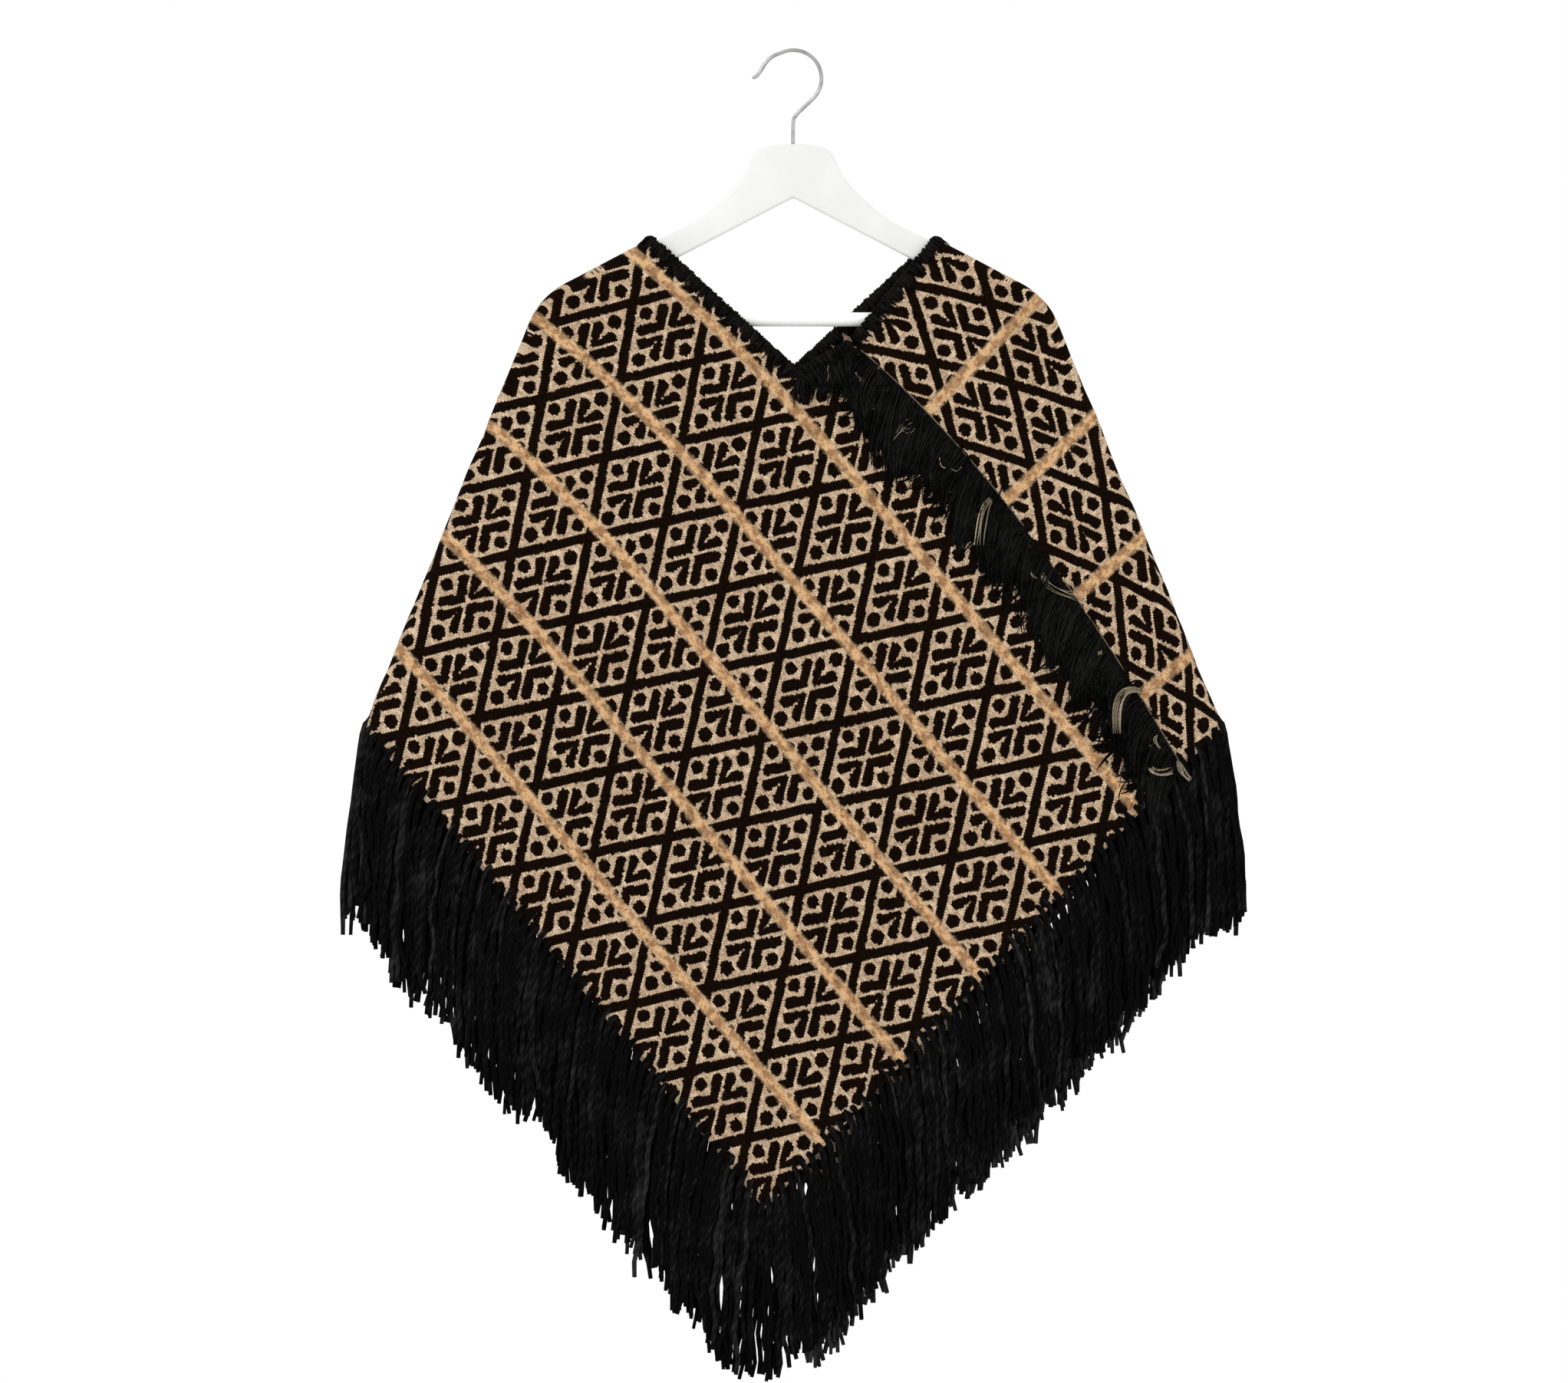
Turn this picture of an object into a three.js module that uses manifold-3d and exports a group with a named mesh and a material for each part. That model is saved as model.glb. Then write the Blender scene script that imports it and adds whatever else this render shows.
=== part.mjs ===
// A quechquemitl on a clothes hanger: two bands of hand-woven wool, each sewn by one end to the
// side of the other, with a wool fringe along every hem and along both seams.
// Millimetres, +Z up. The front faces -Y. The origin is the inside top of the hook, where it
// bears on what holds it. The garment is the same after half a turn about Z, so each piece of
// cloth is worked out once and its fellow is that piece turned.

import * as THREE from "three";
import { mergeVertices } from "three/addons/utils/BufferGeometryUtils.js";
import Module from "manifold-3d";

// ---- Driving dimensions -------------------------------------------------------------------

const clothWall = 3; // thickness of the woven wool
const seamGap = 0.4; // between pieces that touch

// Corners of the left band in the front view, on the middle of its wall.
const neckFoot = new THREE.Vector2(3, -278); // lowest point of the V
const seamTop = new THREE.Vector2(52, -250); // where the seam starts, a little up the V
const seamBow = new THREE.Vector2(181, -356); // pulls the seam into its slight bow
const seamEnd = new THREE.Vector2(326, -606); // where the seam meets the hem
const hemPoint = new THREE.Vector2(-24, -976); // the garment's lowest corner
const neckCorner = new THREE.Vector2(-124, -162); // where the neck edge crosses the hanger arm
const shoulderTip = new THREE.Vector2(-213, -208.5); // over the end of the hanger arm
const hemSide = new THREE.Vector2(-359.5, -573); // where the hem turns to the back
const shoulderBend = 26; // how far either side of its tip the shoulder is rounded

const armDepth = 8.4; // front of the cloth from the middle plane, over the hanger arm
const hemDepth = 48; // the same at the hem
const flareTop = -190; // height at which the cloth starts to stand away from the hanger
const flareEnd = -590; // height at which it hangs straight down

// How the cloth turns round each side, over the hanger arm and down at the hem.
const sideTurn = {
  round: { arm: 5.4, hem: 24 }, // from the flat of the front out to the side line
  lobe: { arm: 3, hem: 29 }, // the side line from the middle plane
  tuck: { arm: 0, hem: 95 }, // how far the slack falls inwards between front and back
};

// Soft folds that stand out of the front and, turned, of the back.
const softFolds = [
  { topX: -195, topZ: -290, lowX: -272, lowZ: -640, halfWidth: 42, rise: 4 },
  { topX: -120, topZ: -330, lowX: -165, lowZ: -750, halfWidth: 46, rise: -3.5 },
  { topX: -30, topZ: -380, lowX: -55, lowZ: -860, halfWidth: 52, rise: 3.5 },
  { topX: 70, topZ: -430, lowX: 85, lowZ: -840, halfWidth: 50, rise: -3 },
  { topX: 205, topZ: -290, lowX: 290, lowZ: -600, halfWidth: 42, rise: 3 },
];

const rowsDown = 18; // cells from the neck edge to the hem
const cells = { face: 7, backFace: 5, turn: 3 }; // cells along the band in each stretch

const neckBand = { width: 7.3, thick: 4.6, lift: 0.8, mitre: 0.16 }; // the overcast neck edge
const hemStrip = { off: 0.7, width: 6, thick: 4.4 }; // the heading that the fringe hangs from
const rootShare = 0.65; // how far down the heading a yarn starts
const hemYarn = { width: 6.4, thick: 4, short: 138, long: 164, splay: 10, sway: 1 };
const endYarns = 40; // along the free end of a band
const sideYarns = 60; // along its outer long edge
const tipShare = 0.6; // how thick a strand is at its tip
const seamStrip = { from: 1.5, width: 7, thick: 4.4, trim: 5 }; // sewn down along the seam
const seamLock = { count: 20, width: 16, thick: 4, short: 48, long: 72, clear: 1.5 };

const wire = { radius: 1.6, bend: 24, tipX: -33.5, tipZ: -22.5, intoHead: 24 };
const yoke = {
  thick: 12,
  edge: 1.5, // width of its chamfers
  headTop: -78.3,
  fork: -123.5, // where the undersides of its arms meet
  endFoot: -236, // lower face of the deep ends
  endX: 201, // their outer faces
  socketTop: -219.8, // where an arm's underside meets its end
  stemBore: 2.1,
};
const bar = { radius: 6, centreZ: -226.6, socketX: 186 };

// ---- Helpers ------------------------------------------------------------------------------

const wasm = await Module();
wasm.setup();

const mix = THREE.MathUtils.lerp;
const ease = (t) => THREE.MathUtils.smoothstep(t, 0, 1);
const turned = (v) => new THREE.Vector2(-v.x, v.y);
const uneven = (n) => THREE.MathUtils.euclideanModulo(Math.sin(n * 12.9898) * 43758.5453, 1);

function solidFrom(geometry) {
  const plain = geometry.clone();
  plain.deleteAttribute("normal");
  plain.deleteAttribute("uv");
  const merged = mergeVertices(plain, 1e-4);
  return new wasm.Manifold(
    new wasm.Mesh({
      numProp: 3,
      vertProperties: new Float32Array(merged.attributes.position.array),
      triVerts: new Uint32Array(merged.index.array),
    }),
  );
}

function geometryFrom(solid) {
  const mesh = solid.getMesh();
  const geometry = new THREE.BufferGeometry();
  geometry.setAttribute("position", new THREE.BufferAttribute(mesh.vertProperties, 3));
  geometry.setIndex(new THREE.BufferAttribute(mesh.triVerts, 1));
  return geometry;
}

const fused = (geometries) =>
  geometryFrom(geometries.map(solidFrom).reduce((whole, next) => whole.add(next)));

function indexed(points, faces) {
  const geometry = new THREE.BufferGeometry().setFromPoints(points);
  geometry.setIndex(faces.flat());
  return geometry;
}

// The two triangles of each cell of a grid with so many points across and down.
function gridFaces(across, down) {
  const faces = [];
  for (let j = 0; j + 1 < down; j++)
    for (let i = 0; i + 1 < across; i++) {
      const a = j * across + i;
      const below = a + across;
      faces.push([a, a + 1, below + 1], [a, below + 1, below]);
    }
  return faces;
}

// A grid of points { at, out } thickened by half to each side and closed round its rim.
function wallFrom(grid, thick) {
  const [across, down] = [grid[0].length, grid.length];
  const flat = grid.flat();
  const side = (sign) => flat.map(({ at, out }) => at.clone().addScaledVector(out, (sign * thick) / 2));
  const count = flat.length;
  const outer = gridFaces(across, down);
  const inner = outer.map(([a, b, c]) => [a + count, c + count, b + count]);
  const rim = [];
  for (let i = 0; i < across; i++) rim.push(i);
  for (let j = 1; j < down; j++) rim.push(j * across + across - 1);
  for (let i = across - 2; i >= 0; i--) rim.push((down - 1) * across + i);
  for (let j = down - 2; j > 0; j--) rim.push(j * across);
  const edge = rim.flatMap((a, n) => {
    const b = rim[(n + 1) % rim.length];
    return [[b, a, a + count], [b, a + count, b + count]];
  });
  return indexed([...side(1), ...side(-1)], [...outer, ...inner, ...edge]);
}

// ---- The cloth ----------------------------------------------------------------------------

// A band's grid runs across it in s, from the neck edge (0) to the hem (1), and along it in
// seven stretches: front by the seam, front by the side, two round the front of the side, two
// round its back, and the back as far as the back seam.
const frontSeam = new THREE.QuadraticBezierCurve(seamTop, seamBow, seamEnd);
const backSeam = new THREE.QuadraticBezierCurve(turned(seamTop), turned(seamBow), turned(seamEnd));
const toward = (from, to, distance) =>
  from.clone().addScaledVector(to.clone().sub(from).normalize(), distance);
const sideLine = new THREE.Path()
  .moveTo(neckCorner.x, neckCorner.y)
  .lineTo(...toward(shoulderTip, neckCorner, shoulderBend).toArray())
  .quadraticCurveTo(...shoulderTip.toArray(), ...toward(shoulderTip, hemSide, shoulderBend).toArray())
  .lineTo(...hemSide.toArray());
const armShare = neckCorner.distanceTo(shoulderTip) / sideLine.getLength();

// How far the front stands from the middle plane at a place in the front view.
function faceDepth(x, z) {
  const place = new THREE.Vector2(x, z);
  const flare = ease((flareTop - z) / (flareTop - flareEnd));
  const folds = softFolds.map(({ topX, topZ, lowX, lowZ, halfWidth, rise }) => {
    const top = new THREE.Vector2(topX, topZ);
    const run = new THREE.Vector2(lowX, lowZ).sub(top);
    const along = place.clone().sub(top).dot(run) / run.lengthSq();
    const off = place.distanceTo(top.addScaledVector(run, along));
    const fade = ease(along / 0.4) * ease((1 - along) / 0.3);
    return rise * fade * Math.exp(-((off / halfWidth) ** 2));
  });
  return mix(armDepth, hemDepth, flare) + folds.reduce((sum, fold) => sum + fold, 0);
}

const bezier = (t, a, b, c, d) =>
  (1 - t) ** 3 * a + 3 * (1 - t) ** 2 * t * b + 3 * (1 - t) * t ** 2 * c + t ** 3 * d;

// One level of the band: the points along it at a given share s of the way to the hem.
function bandLevel(s) {
  const side = sideLine.getPointAt(s);
  const outward = sideLine.getTangentAt(s);
  outward.set(outward.y, -outward.x);
  const down = THREE.MathUtils.clamp((s - armShare) / (1 - armShare), 0, 1);
  const round = mix(sideTurn.round.arm, sideTurn.round.hem, down);
  const lobe = mix(sideTurn.lobe.arm, sideTurn.lobe.hem, down);
  const tuck = mix(sideTurn.tuck.arm, sideTurn.tuck.hem, ease(down));
  const middle = neckFoot.clone().lerp(hemPoint, s);

  const frontWay = side.clone().sub(middle).normalize();
  const backWay = side.clone().sub(backSeam.getPoint(s)).normalize();
  const reach = (way, distance) => side.clone().addScaledVector(way, distance / way.dot(outward));
  const frontEdge = reach(frontWay, -round);
  const backEdge = reach(backWay, -round);
  const frontDepth = faceDepth(frontEdge.x, frontEdge.y);
  const backDepth = faceDepth(-backEdge.x, backEdge.y);

  const face = (from, to, count, sign) => (n) => {
    const p = from.clone().lerp(to, n / count);
    return new THREE.Vector3(p.x, sign * faceDepth(-sign * p.x, p.y), p.y);
  };
  const outTurn = (way, depth, sign) => (t) => {
    const p = reach(way, bezier(t, -round, -round * 0.45, 0, 0));
    const y = bezier(t, depth, depth, mix(lobe, depth, 0.55), lobe);
    return new THREE.Vector3(p.x, sign * y, p.y);
  };
  const inTurn = (sign) => (t) =>
    new THREE.Vector3(
      side.x + bezier(t, 0, 0, tuck, tuck),
      sign * bezier(t, lobe, lobe * 0.4, lobe * 0.75, 0),
      side.y,
    );
  const frontOut = outTurn(frontWay, frontDepth, -1);
  const backOut = outTurn(backWay, backDepth, 1);
  const seamStart = toward(frontSeam.getPoint(s), middle, seamGap / 2);
  const seamStop = toward(backSeam.getPoint(s), backEdge, seamGap / 2);

  const points = [];
  const stretch = (count, place) => {
    for (let n = 0; n < count; n++) points.push(place(n));
  };
  stretch(cells.face, face(seamStart, middle, cells.face, -1));
  stretch(cells.face, face(middle, frontEdge, cells.face, -1));
  stretch(cells.turn, (n) => frontOut(n / cells.turn));
  stretch(cells.turn, (n) => inTurn(-1)(n / cells.turn));
  stretch(cells.turn, (n) => inTurn(1)(1 - n / cells.turn));
  stretch(cells.turn, (n) => backOut(1 - n / cells.turn));
  stretch(cells.backFace + 1, face(backEdge, seamStop, cells.backFace, 1));
  return points;
}

function bandGrid() {
  const levels = Array.from({ length: rowsDown + 1 }, (_, j) => bandLevel(j / rowsDown));
  const [across, down] = [levels[0].length, levels.length];
  const middle = indexed(levels.flat(), gridFaces(across, down));
  middle.computeVertexNormals();
  const normals = middle.getAttribute("normal");
  return levels.map((level, j) =>
    level.map((at, i) => ({
      at,
      out: new THREE.Vector3().fromBufferAttribute(normals, j * across + i),
    })),
  );
}

const band = bandGrid();
const bottomCorner = cells.face; // the column that ends in the garment's lowest corner

// ---- Strips along the cloth's edges -------------------------------------------------------

// The stations of a strip beyond an edge: where it runs, which way is out of the cloth's face,
// along the edge, and away from the cloth.
function edgeStations(stations, awaySign) {
  return stations.map(({ at, out }, n) => {
    const before = stations[Math.max(n - 1, 0)].at;
    const after = stations[Math.min(n + 1, stations.length - 1)].at;
    const along = after.clone().sub(before).normalize();
    const away = out.clone().cross(along).normalize().multiplyScalar(awaySign);
    return { at, out, along, away };
  });
}

// A strip from one distance off the edge to another. Its first and last ends are cut on a
// slope, which is how far along the edge they move for each millimetre off it.
function stripGrid(stations, near, far, { lift = 0, firstSlope = 0, lastSlope = 0, trim = 0 }) {
  const last = stations.length - 1;
  return [near, far].map((distance) =>
    stations.map(({ at, out, along, away }, n) => {
      const shift =
        (n === 0 ? trim + firstSlope * Math.abs(distance) : 0) -
        (n === last ? trim + lastSlope * Math.abs(distance) : 0);
      const place = at.clone().addScaledVector(away, distance).addScaledVector(along, shift);
      return { at: place.addScaledVector(out, lift), out };
    }),
  );
}

// Evenly spaced places along a strip, half a pitch in from its ends.
function spread(stations, distance, count) {
  const line = stations.map(({ at, away }) => at.clone().addScaledVector(away, distance));
  const lengths = [0];
  line.slice(1).forEach((p, n) => lengths.push(lengths[n] + p.distanceTo(line[n])));
  const total = lengths[lengths.length - 1];
  return Array.from({ length: count }, (_, k) => {
    const goal = ((k + 0.5) / count) * total;
    const n = Math.min(lengths.findIndex((length) => length > goal), line.length - 1);
    const t = (goal - lengths[n - 1]) / (lengths[n] - lengths[n - 1]);
    const between = (key) => stations[n - 1][key].clone().lerp(stations[n][key], t).normalize();
    return { at: line[n - 1].clone().lerp(line[n], t), out: between("out"), along: between("along") };
  });
}

// A three-sided strand, flat at its back and ridged at its front, that narrows to its tip.
function strand(root, tip, across, forward, { width, thick }) {
  const ring = (at, share) =>
    [[-width / 2, -thick / 2], [width / 2, -thick / 2], [0, thick / 2]].map(([a, f]) =>
      at.clone().addScaledVector(across, a * share).addScaledVector(forward, f * share),
    );
  const faces = [[0, 1, 2], [3, 5, 4]];
  for (let k = 0; k < 3; k++) {
    const next = (k + 1) % 3;
    faces.push([k, next + 3, next], [k, k + 3, next + 3]);
  }
  return indexed([...ring(root, 1), ...ring(tip, tipShare)], faces);
}

const level = (v) => v.clone().setZ(0).normalize();

// The overcast neck edge: a thick band of black wool stitches beyond the cloth's raw edge. Its
// ends meet those of its fellow where the seams start.
function neckEdging() {
  const stations = edgeStations(band[0], -1);
  const grid = stripGrid(stations, seamGap, seamGap + neckBand.width, {
    lift: neckBand.lift,
    firstSlope: neckBand.mitre,
    lastSlope: neckBand.mitre,
    trim: seamGap,
  });
  return wallFrom([grid[1], grid[0]], neckBand.thick);
}

// A hem's heading and the yarns that hang from it.
function hemFringe(stations, count, seed, slopes) {
  const { off, width } = hemStrip;
  const grid = stripGrid(stations, off, off + width, { trim: seamGap, ...slopes });
  const roots = spread(stations, off + width * rootShare, count);
  const yarns = roots.map(({ at, out, along }, k) => {
    const drop = mix(hemYarn.short, hemYarn.long, uneven(k + seed));
    const forward = level(out);
    const across = forward.clone().cross(new THREE.Vector3(0, 0, 1)).normalize();
    const sway = mix(-hemYarn.sway, hemYarn.sway, uneven(3 * k + seed));
    const splay = hemYarn.splay * Math.abs(forward.x) ** 2;
    const point = (share) =>
      at
        .clone()
        .addScaledVector(forward, splay * share)
        .addScaledVector(across, sway * share)
        .setZ(at.z - drop * share);
    return strand(point(0), point(1), across, forward, hemYarn);
  });
  return fused([wallFrom(grid, hemStrip.thick), ...yarns]);
}

// The fringe of the band that is sewn on here lies over the cloth below the seam, in locks.
function seamFringe() {
  const column = band.map((row) => row[0]);
  const stations = edgeStations(column, 1).map((station) => ({
    ...station,
    away: station.out.clone().cross(station.along).negate().normalize(),
  }));
  const raise = clothWall / 2 + seamGap + seamStrip.thick / 2;
  const near = seamStrip.from;
  const grid = stripGrid(stations, near, near + seamStrip.width, { lift: raise, trim: seamStrip.trim });
  const roots = spread(stations, near + seamStrip.width / 2, seamLock.count);
  const front = new THREE.Vector3(0, -1, 0);
  const across = new THREE.Vector3(-1, 0, 0);
  const off = clothWall / 2 + seamLock.clear + seamLock.thick / 2;
  const locks = roots.map(({ at }, k) => {
    const drop = mix(seamLock.short, seamLock.long, uneven(k + 0.5));
    const point = (share) => {
      const z = at.z - drop * share;
      const rest = share === 0 ? raise : off;
      return new THREE.Vector3(at.x, -faceDepth(at.x, z) - rest, z);
    };
    return strand(point(0), point(1), across, front, seamLock);
  });
  return fused([wallFrom([grid[1], grid[0]], seamStrip.thick), ...locks]);
}

// ---- The hanger ---------------------------------------------------------------------------

// A flat wooden yoke: a rounded head, two sloping arms, and a deep end on each arm that takes
// the bar. The hook's stem goes down into a bore in the head.
function hangerYoke() {
  const outline = [
    { x: 31.7, z: -84.6 },
    { x: 48, z: -113 },
    { x: 80, z: -141.6 },
    { x: 114, z: -159.4 },
    { x: 184, z: -196.6 },
  ];
  const shape = new THREE.Shape();
  shape.moveTo(0, yoke.fork);
  shape.lineTo(-bar.socketX, yoke.socketTop);
  shape.lineTo(-bar.socketX, yoke.endFoot);
  shape.lineTo(-yoke.endX, yoke.endFoot);
  shape.quadraticCurveTo(-204, -208, -outline[4].x, outline[4].z);
  shape.lineTo(-outline[3].x, outline[3].z);
  shape.splineThru(outline.slice(0, 3).reverse().map(({ x, z }) => new THREE.Vector2(-x, z)));
  shape.bezierCurveTo(-24, -79.5, -12, yoke.headTop, 0, yoke.headTop);
  shape.bezierCurveTo(12, yoke.headTop, 24, -79.5, outline[0].x, outline[0].z);
  shape.splineThru(outline.slice(1, 4).map(({ x, z }) => new THREE.Vector2(x, z)));
  shape.lineTo(outline[4].x, outline[4].z);
  shape.quadraticCurveTo(204, -208, yoke.endX, yoke.endFoot);
  shape.lineTo(bar.socketX, yoke.endFoot);
  shape.lineTo(bar.socketX, yoke.socketTop);
  const geometry = new THREE.ExtrudeGeometry(shape, {
    depth: yoke.thick - 2 * yoke.edge,
    curveSegments: 4,
    bevelThickness: yoke.edge,
    bevelSize: yoke.edge,
    bevelOffset: -yoke.edge,
    bevelSegments: 1,
  });
  geometry.translate(0, 0, -yoke.thick / 2 + yoke.edge);
  geometry.rotateX(Math.PI / 2);
  const bore = new THREE.CylinderGeometry(yoke.stemBore, yoke.stemBore, 2 * wire.intoHead + 2, 12);
  bore.rotateX(Math.PI / 2);
  bore.translate(0, 0, yoke.headTop);
  return geometryFrom(solidFrom(geometry).subtract(solidFrom(bore)));
}

function hangerBar() {
  const length = 2 * (bar.socketX - seamGap);
  const geometry = new THREE.CylinderGeometry(bar.radius, bar.radius, length, 16);
  geometry.rotateZ(Math.PI / 2);
  geometry.translate(0, 0, bar.centreZ);
  return geometry;
}

// The chrome wire hook: a short flared tip, most of a circle, and a bend back under its middle
// into the straight stem.
function hangerHook() {
  const centreZ = wire.radius - wire.bend;
  const round = Array.from({ length: 11 }, (_, k) => {
    const angle = THREE.MathUtils.degToRad(mix(158, -42, k / 10));
    return new THREE.Vector3(wire.bend * Math.cos(angle), 0, centreZ + wire.bend * Math.sin(angle));
  });
  const path = new THREE.CatmullRomCurve3([
    new THREE.Vector3(wire.tipX, 0, wire.tipZ),
    new THREE.Vector3(wire.tipX + 6, 0, wire.tipZ + 5.5),
    ...round,
    new THREE.Vector3(9, 0, -47),
    new THREE.Vector3(2.4, 0, -54),
    new THREE.Vector3(0, 0, -62),
    new THREE.Vector3(0, 0, yoke.headTop - wire.intoHead),
  ], false, "centripetal");
  const section = new THREE.Shape();
  section.absarc(0, 0, wire.radius, 0, 2 * Math.PI);
  return new THREE.ExtrudeGeometry(section, { extrudePath: path, steps: 40, curveSegments: 4 });
}

// ---- The object ---------------------------------------------------------------------------

const wool = new THREE.MeshStandardMaterial({ color: "#c39a68", roughness: 0.95, metalness: 0 });
const blackWool = new THREE.MeshStandardMaterial({ color: "#111111", roughness: 0.9, metalness: 0 });
const paintedWood = new THREE.MeshStandardMaterial({ color: "#f4f3ef", roughness: 0.45, metalness: 0 });
const chrome = new THREE.MeshStandardMaterial({ color: "#c9cbcd", roughness: 0.2, metalness: 1 });

const hem = band[rowsDown];
const endHem = edgeStations(hem.slice(0, bottomCorner + 1), 1);
const sideHem = edgeStations(hem.slice(bottomCorner), 1);

// Each cloth piece, with the names of the one on the left or front and of its turned fellow.
const clothPieces = [
  { names: ["panel_left", "panel_right"], shape: wallFrom(band, clothWall), material: wool },
  { names: ["neck_edging_left", "neck_edging_right"], shape: neckEdging(), material: blackWool },
  {
    names: ["hem_fringe_front_end", "hem_fringe_back_end"],
    shape: hemFringe(endHem, endYarns, 1, { lastSlope: -1 }),
    material: blackWool,
  },
  {
    names: ["hem_fringe_left_side", "hem_fringe_right_side"],
    shape: hemFringe(sideHem, sideYarns, 101, { firstSlope: -1 }),
    material: blackWool,
  },
  { names: ["seam_fringe_front", "seam_fringe_back"], shape: seamFringe(), material: blackWool },
];

const garment = new THREE.Group();
for (const { names, shape, material } of clothPieces)
  names.forEach((name, n) => {
    const mesh = new THREE.Mesh(shape, material);
    mesh.name = name;
    mesh.rotation.z = n * Math.PI;
    garment.add(mesh);
  });

const hanger = new THREE.Group();
const hangerPieces = [
  { name: "hanger_yoke", shape: hangerYoke(), material: paintedWood },
  { name: "hanger_bar", shape: hangerBar(), material: paintedWood },
  { name: "hanger_hook", shape: hangerHook(), material: chrome },
];
for (const { name, shape, material } of hangerPieces) {
  const mesh = new THREE.Mesh(shape, material);
  mesh.name = name;
  hanger.add(mesh);
}

const group = new THREE.Group();
group.add(garment, hanger);

export default group;
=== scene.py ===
"""A quechquemitl of two hand-woven wool bands with a black wool fringe, on a clothes hanger."""
import math

import bpy
import numpy as np
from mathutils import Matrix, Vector, noise


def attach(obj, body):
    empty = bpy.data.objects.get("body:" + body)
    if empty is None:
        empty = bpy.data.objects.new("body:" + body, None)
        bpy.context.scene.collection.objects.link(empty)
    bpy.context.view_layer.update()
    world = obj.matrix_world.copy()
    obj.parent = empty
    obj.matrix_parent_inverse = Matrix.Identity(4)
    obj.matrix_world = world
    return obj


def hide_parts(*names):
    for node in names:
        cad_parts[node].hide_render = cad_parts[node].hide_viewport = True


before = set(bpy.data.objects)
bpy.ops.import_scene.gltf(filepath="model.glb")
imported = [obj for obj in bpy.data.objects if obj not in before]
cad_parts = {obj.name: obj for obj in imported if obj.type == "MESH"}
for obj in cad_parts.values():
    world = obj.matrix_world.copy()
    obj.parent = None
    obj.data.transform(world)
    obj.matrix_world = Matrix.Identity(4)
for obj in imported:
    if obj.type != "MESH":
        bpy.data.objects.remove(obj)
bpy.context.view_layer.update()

# ---- Studio ----
# A white studio. The camera looks straight at the front through a long lens, two soft lamps stand
# in front of the garment, and a pale round floor lies well below the fringe.

PICTURE_MIDDLE = (-0.0078, -0.5418)  # the x and z that the lens points at
LENS_Y = -5.03
SENSOR_WIDTH = 36  # millimetres
FRAMED_WIDTH, FRAMED_AT = 1.3204, 5  # the picture is so wide, so far from the lens
LAMPS = {  # place, width, power in watts
    "key light": ((-1.8, -2.4, 1.3), 1.2, 26),
    "fill light": ((2.4, -2.0, 0.2), 1.6, 8),
}
LAMPS_AIM = Vector((0, 0, -0.55))
FLOOR_RINGS = (0.02, 0.6, 1.4, 2.2)  # radius of each ring of its mesh
FLOOR_SIDES = 96
FLOOR_Z = -1.6
FLOOR_COLOUR = (0.85, 0.85, 0.85)

scene = bpy.context.scene
scene.view_settings.view_transform = "Standard"


def put_in_scene(name, data):
    thing = bpy.data.objects.new(name, data)
    scene.collection.objects.link(thing)
    return thing


def studio_lights():
    world = bpy.data.worlds.new("white studio")
    world.use_nodes = True
    world.node_tree.nodes["Background"].inputs["Color"].default_value = (1, 1, 1, 1)
    scene.world = world
    for name, (place, size, power) in LAMPS.items():
        light = bpy.data.lights.new(name, "AREA")
        light.size = size
        light.energy = power
        lamp = put_in_scene(name, light)
        lamp.location = place
        lamp.rotation_euler = (LAMPS_AIM - Vector(place)).to_track_quat("-Z", "Y").to_euler()


def floor():
    angles = np.linspace(0, 2 * math.pi, FLOOR_SIDES + 1)[:-1]
    points = [(r * math.cos(a), r * math.sin(a), FLOOR_Z) for r in FLOOR_RINGS for a in angles]
    numbers = np.arange(len(points)).reshape(len(FLOOR_RINGS), FLOOR_SIDES)
    inner, outer = numbers[:-1].ravel(), numbers[1:].ravel()
    following = np.roll(numbers, -1, axis=1)
    quads = np.stack([inner, outer, following[1:].ravel(), following[:-1].ravel()], axis=1)
    mesh = bpy.data.meshes.new("floor")
    mesh.from_pydata(points, [], quads.tolist())
    pale = bpy.data.materials.new("pale floor")
    pale.use_nodes = True
    shader = pale.node_tree.nodes["Principled BSDF"]
    shader.inputs["Base Color"].default_value = (*FLOOR_COLOUR, 1)
    shader.inputs["Roughness"].default_value = 0.9
    mesh.materials.append(pale)
    put_in_scene("floor", mesh)


camera = put_in_scene("camera", bpy.data.cameras.new("camera"))
camera.location = (PICTURE_MIDDLE[0], LENS_Y, PICTURE_MIDDLE[1])
camera.rotation_euler = (math.pi / 2, 0, 0)
camera.data.sensor_width = SENSOR_WIDTH
camera.data.lens = SENSOR_WIDTH * FRAMED_AT / FRAMED_WIDTH
scene.camera = camera
studio_lights()
floor()

# ---- The two bands ----
# Two equal strips of wool, woven by hand in beige, black and camel. One short end of each is sewn
# to a long edge of the other, which leaves the V of the neck, and each hangs over one arm of the
# hanger. The right band is the left one turned half a turn.

MM = 0.001
WALL = 3 * MM  # the woven cloth with its floats

# The left band on the front, as x and z. Its grid runs from the neck edge (s = 0) to the hem
# (s = 1), and along the band from the front seam, over the front, round the side with its inward
# tuck, to the back seam.
NECK_FOOT = np.array([3, -278]) * MM
SEAM_TOP, SEAM_BOW, SEAM_END = np.array([[52, -250], [181, -356], [326, -606]]) * MM
HEM_POINT = np.array([-24, -976]) * MM
NECK_CORNER = np.array([-124, -162]) * MM
SHOULDER_TIP = np.array([-213, -208.5]) * MM
HEM_SIDE = np.array([-359.5, -573]) * MM
SHOULDER_BEND = 26 * MM
SHOULDER_STEPS = 60
ROWS = 110
CELLS = {"seam": 84, "side": 84, "turn": 12, "back": 30}
CORNER = CELLS["seam"]  # the column that ends in the lowest corner
TURN_START = CELLS["seam"] + CELLS["side"]
TURN_END = TURN_START + 4 * CELLS["turn"]

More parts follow.
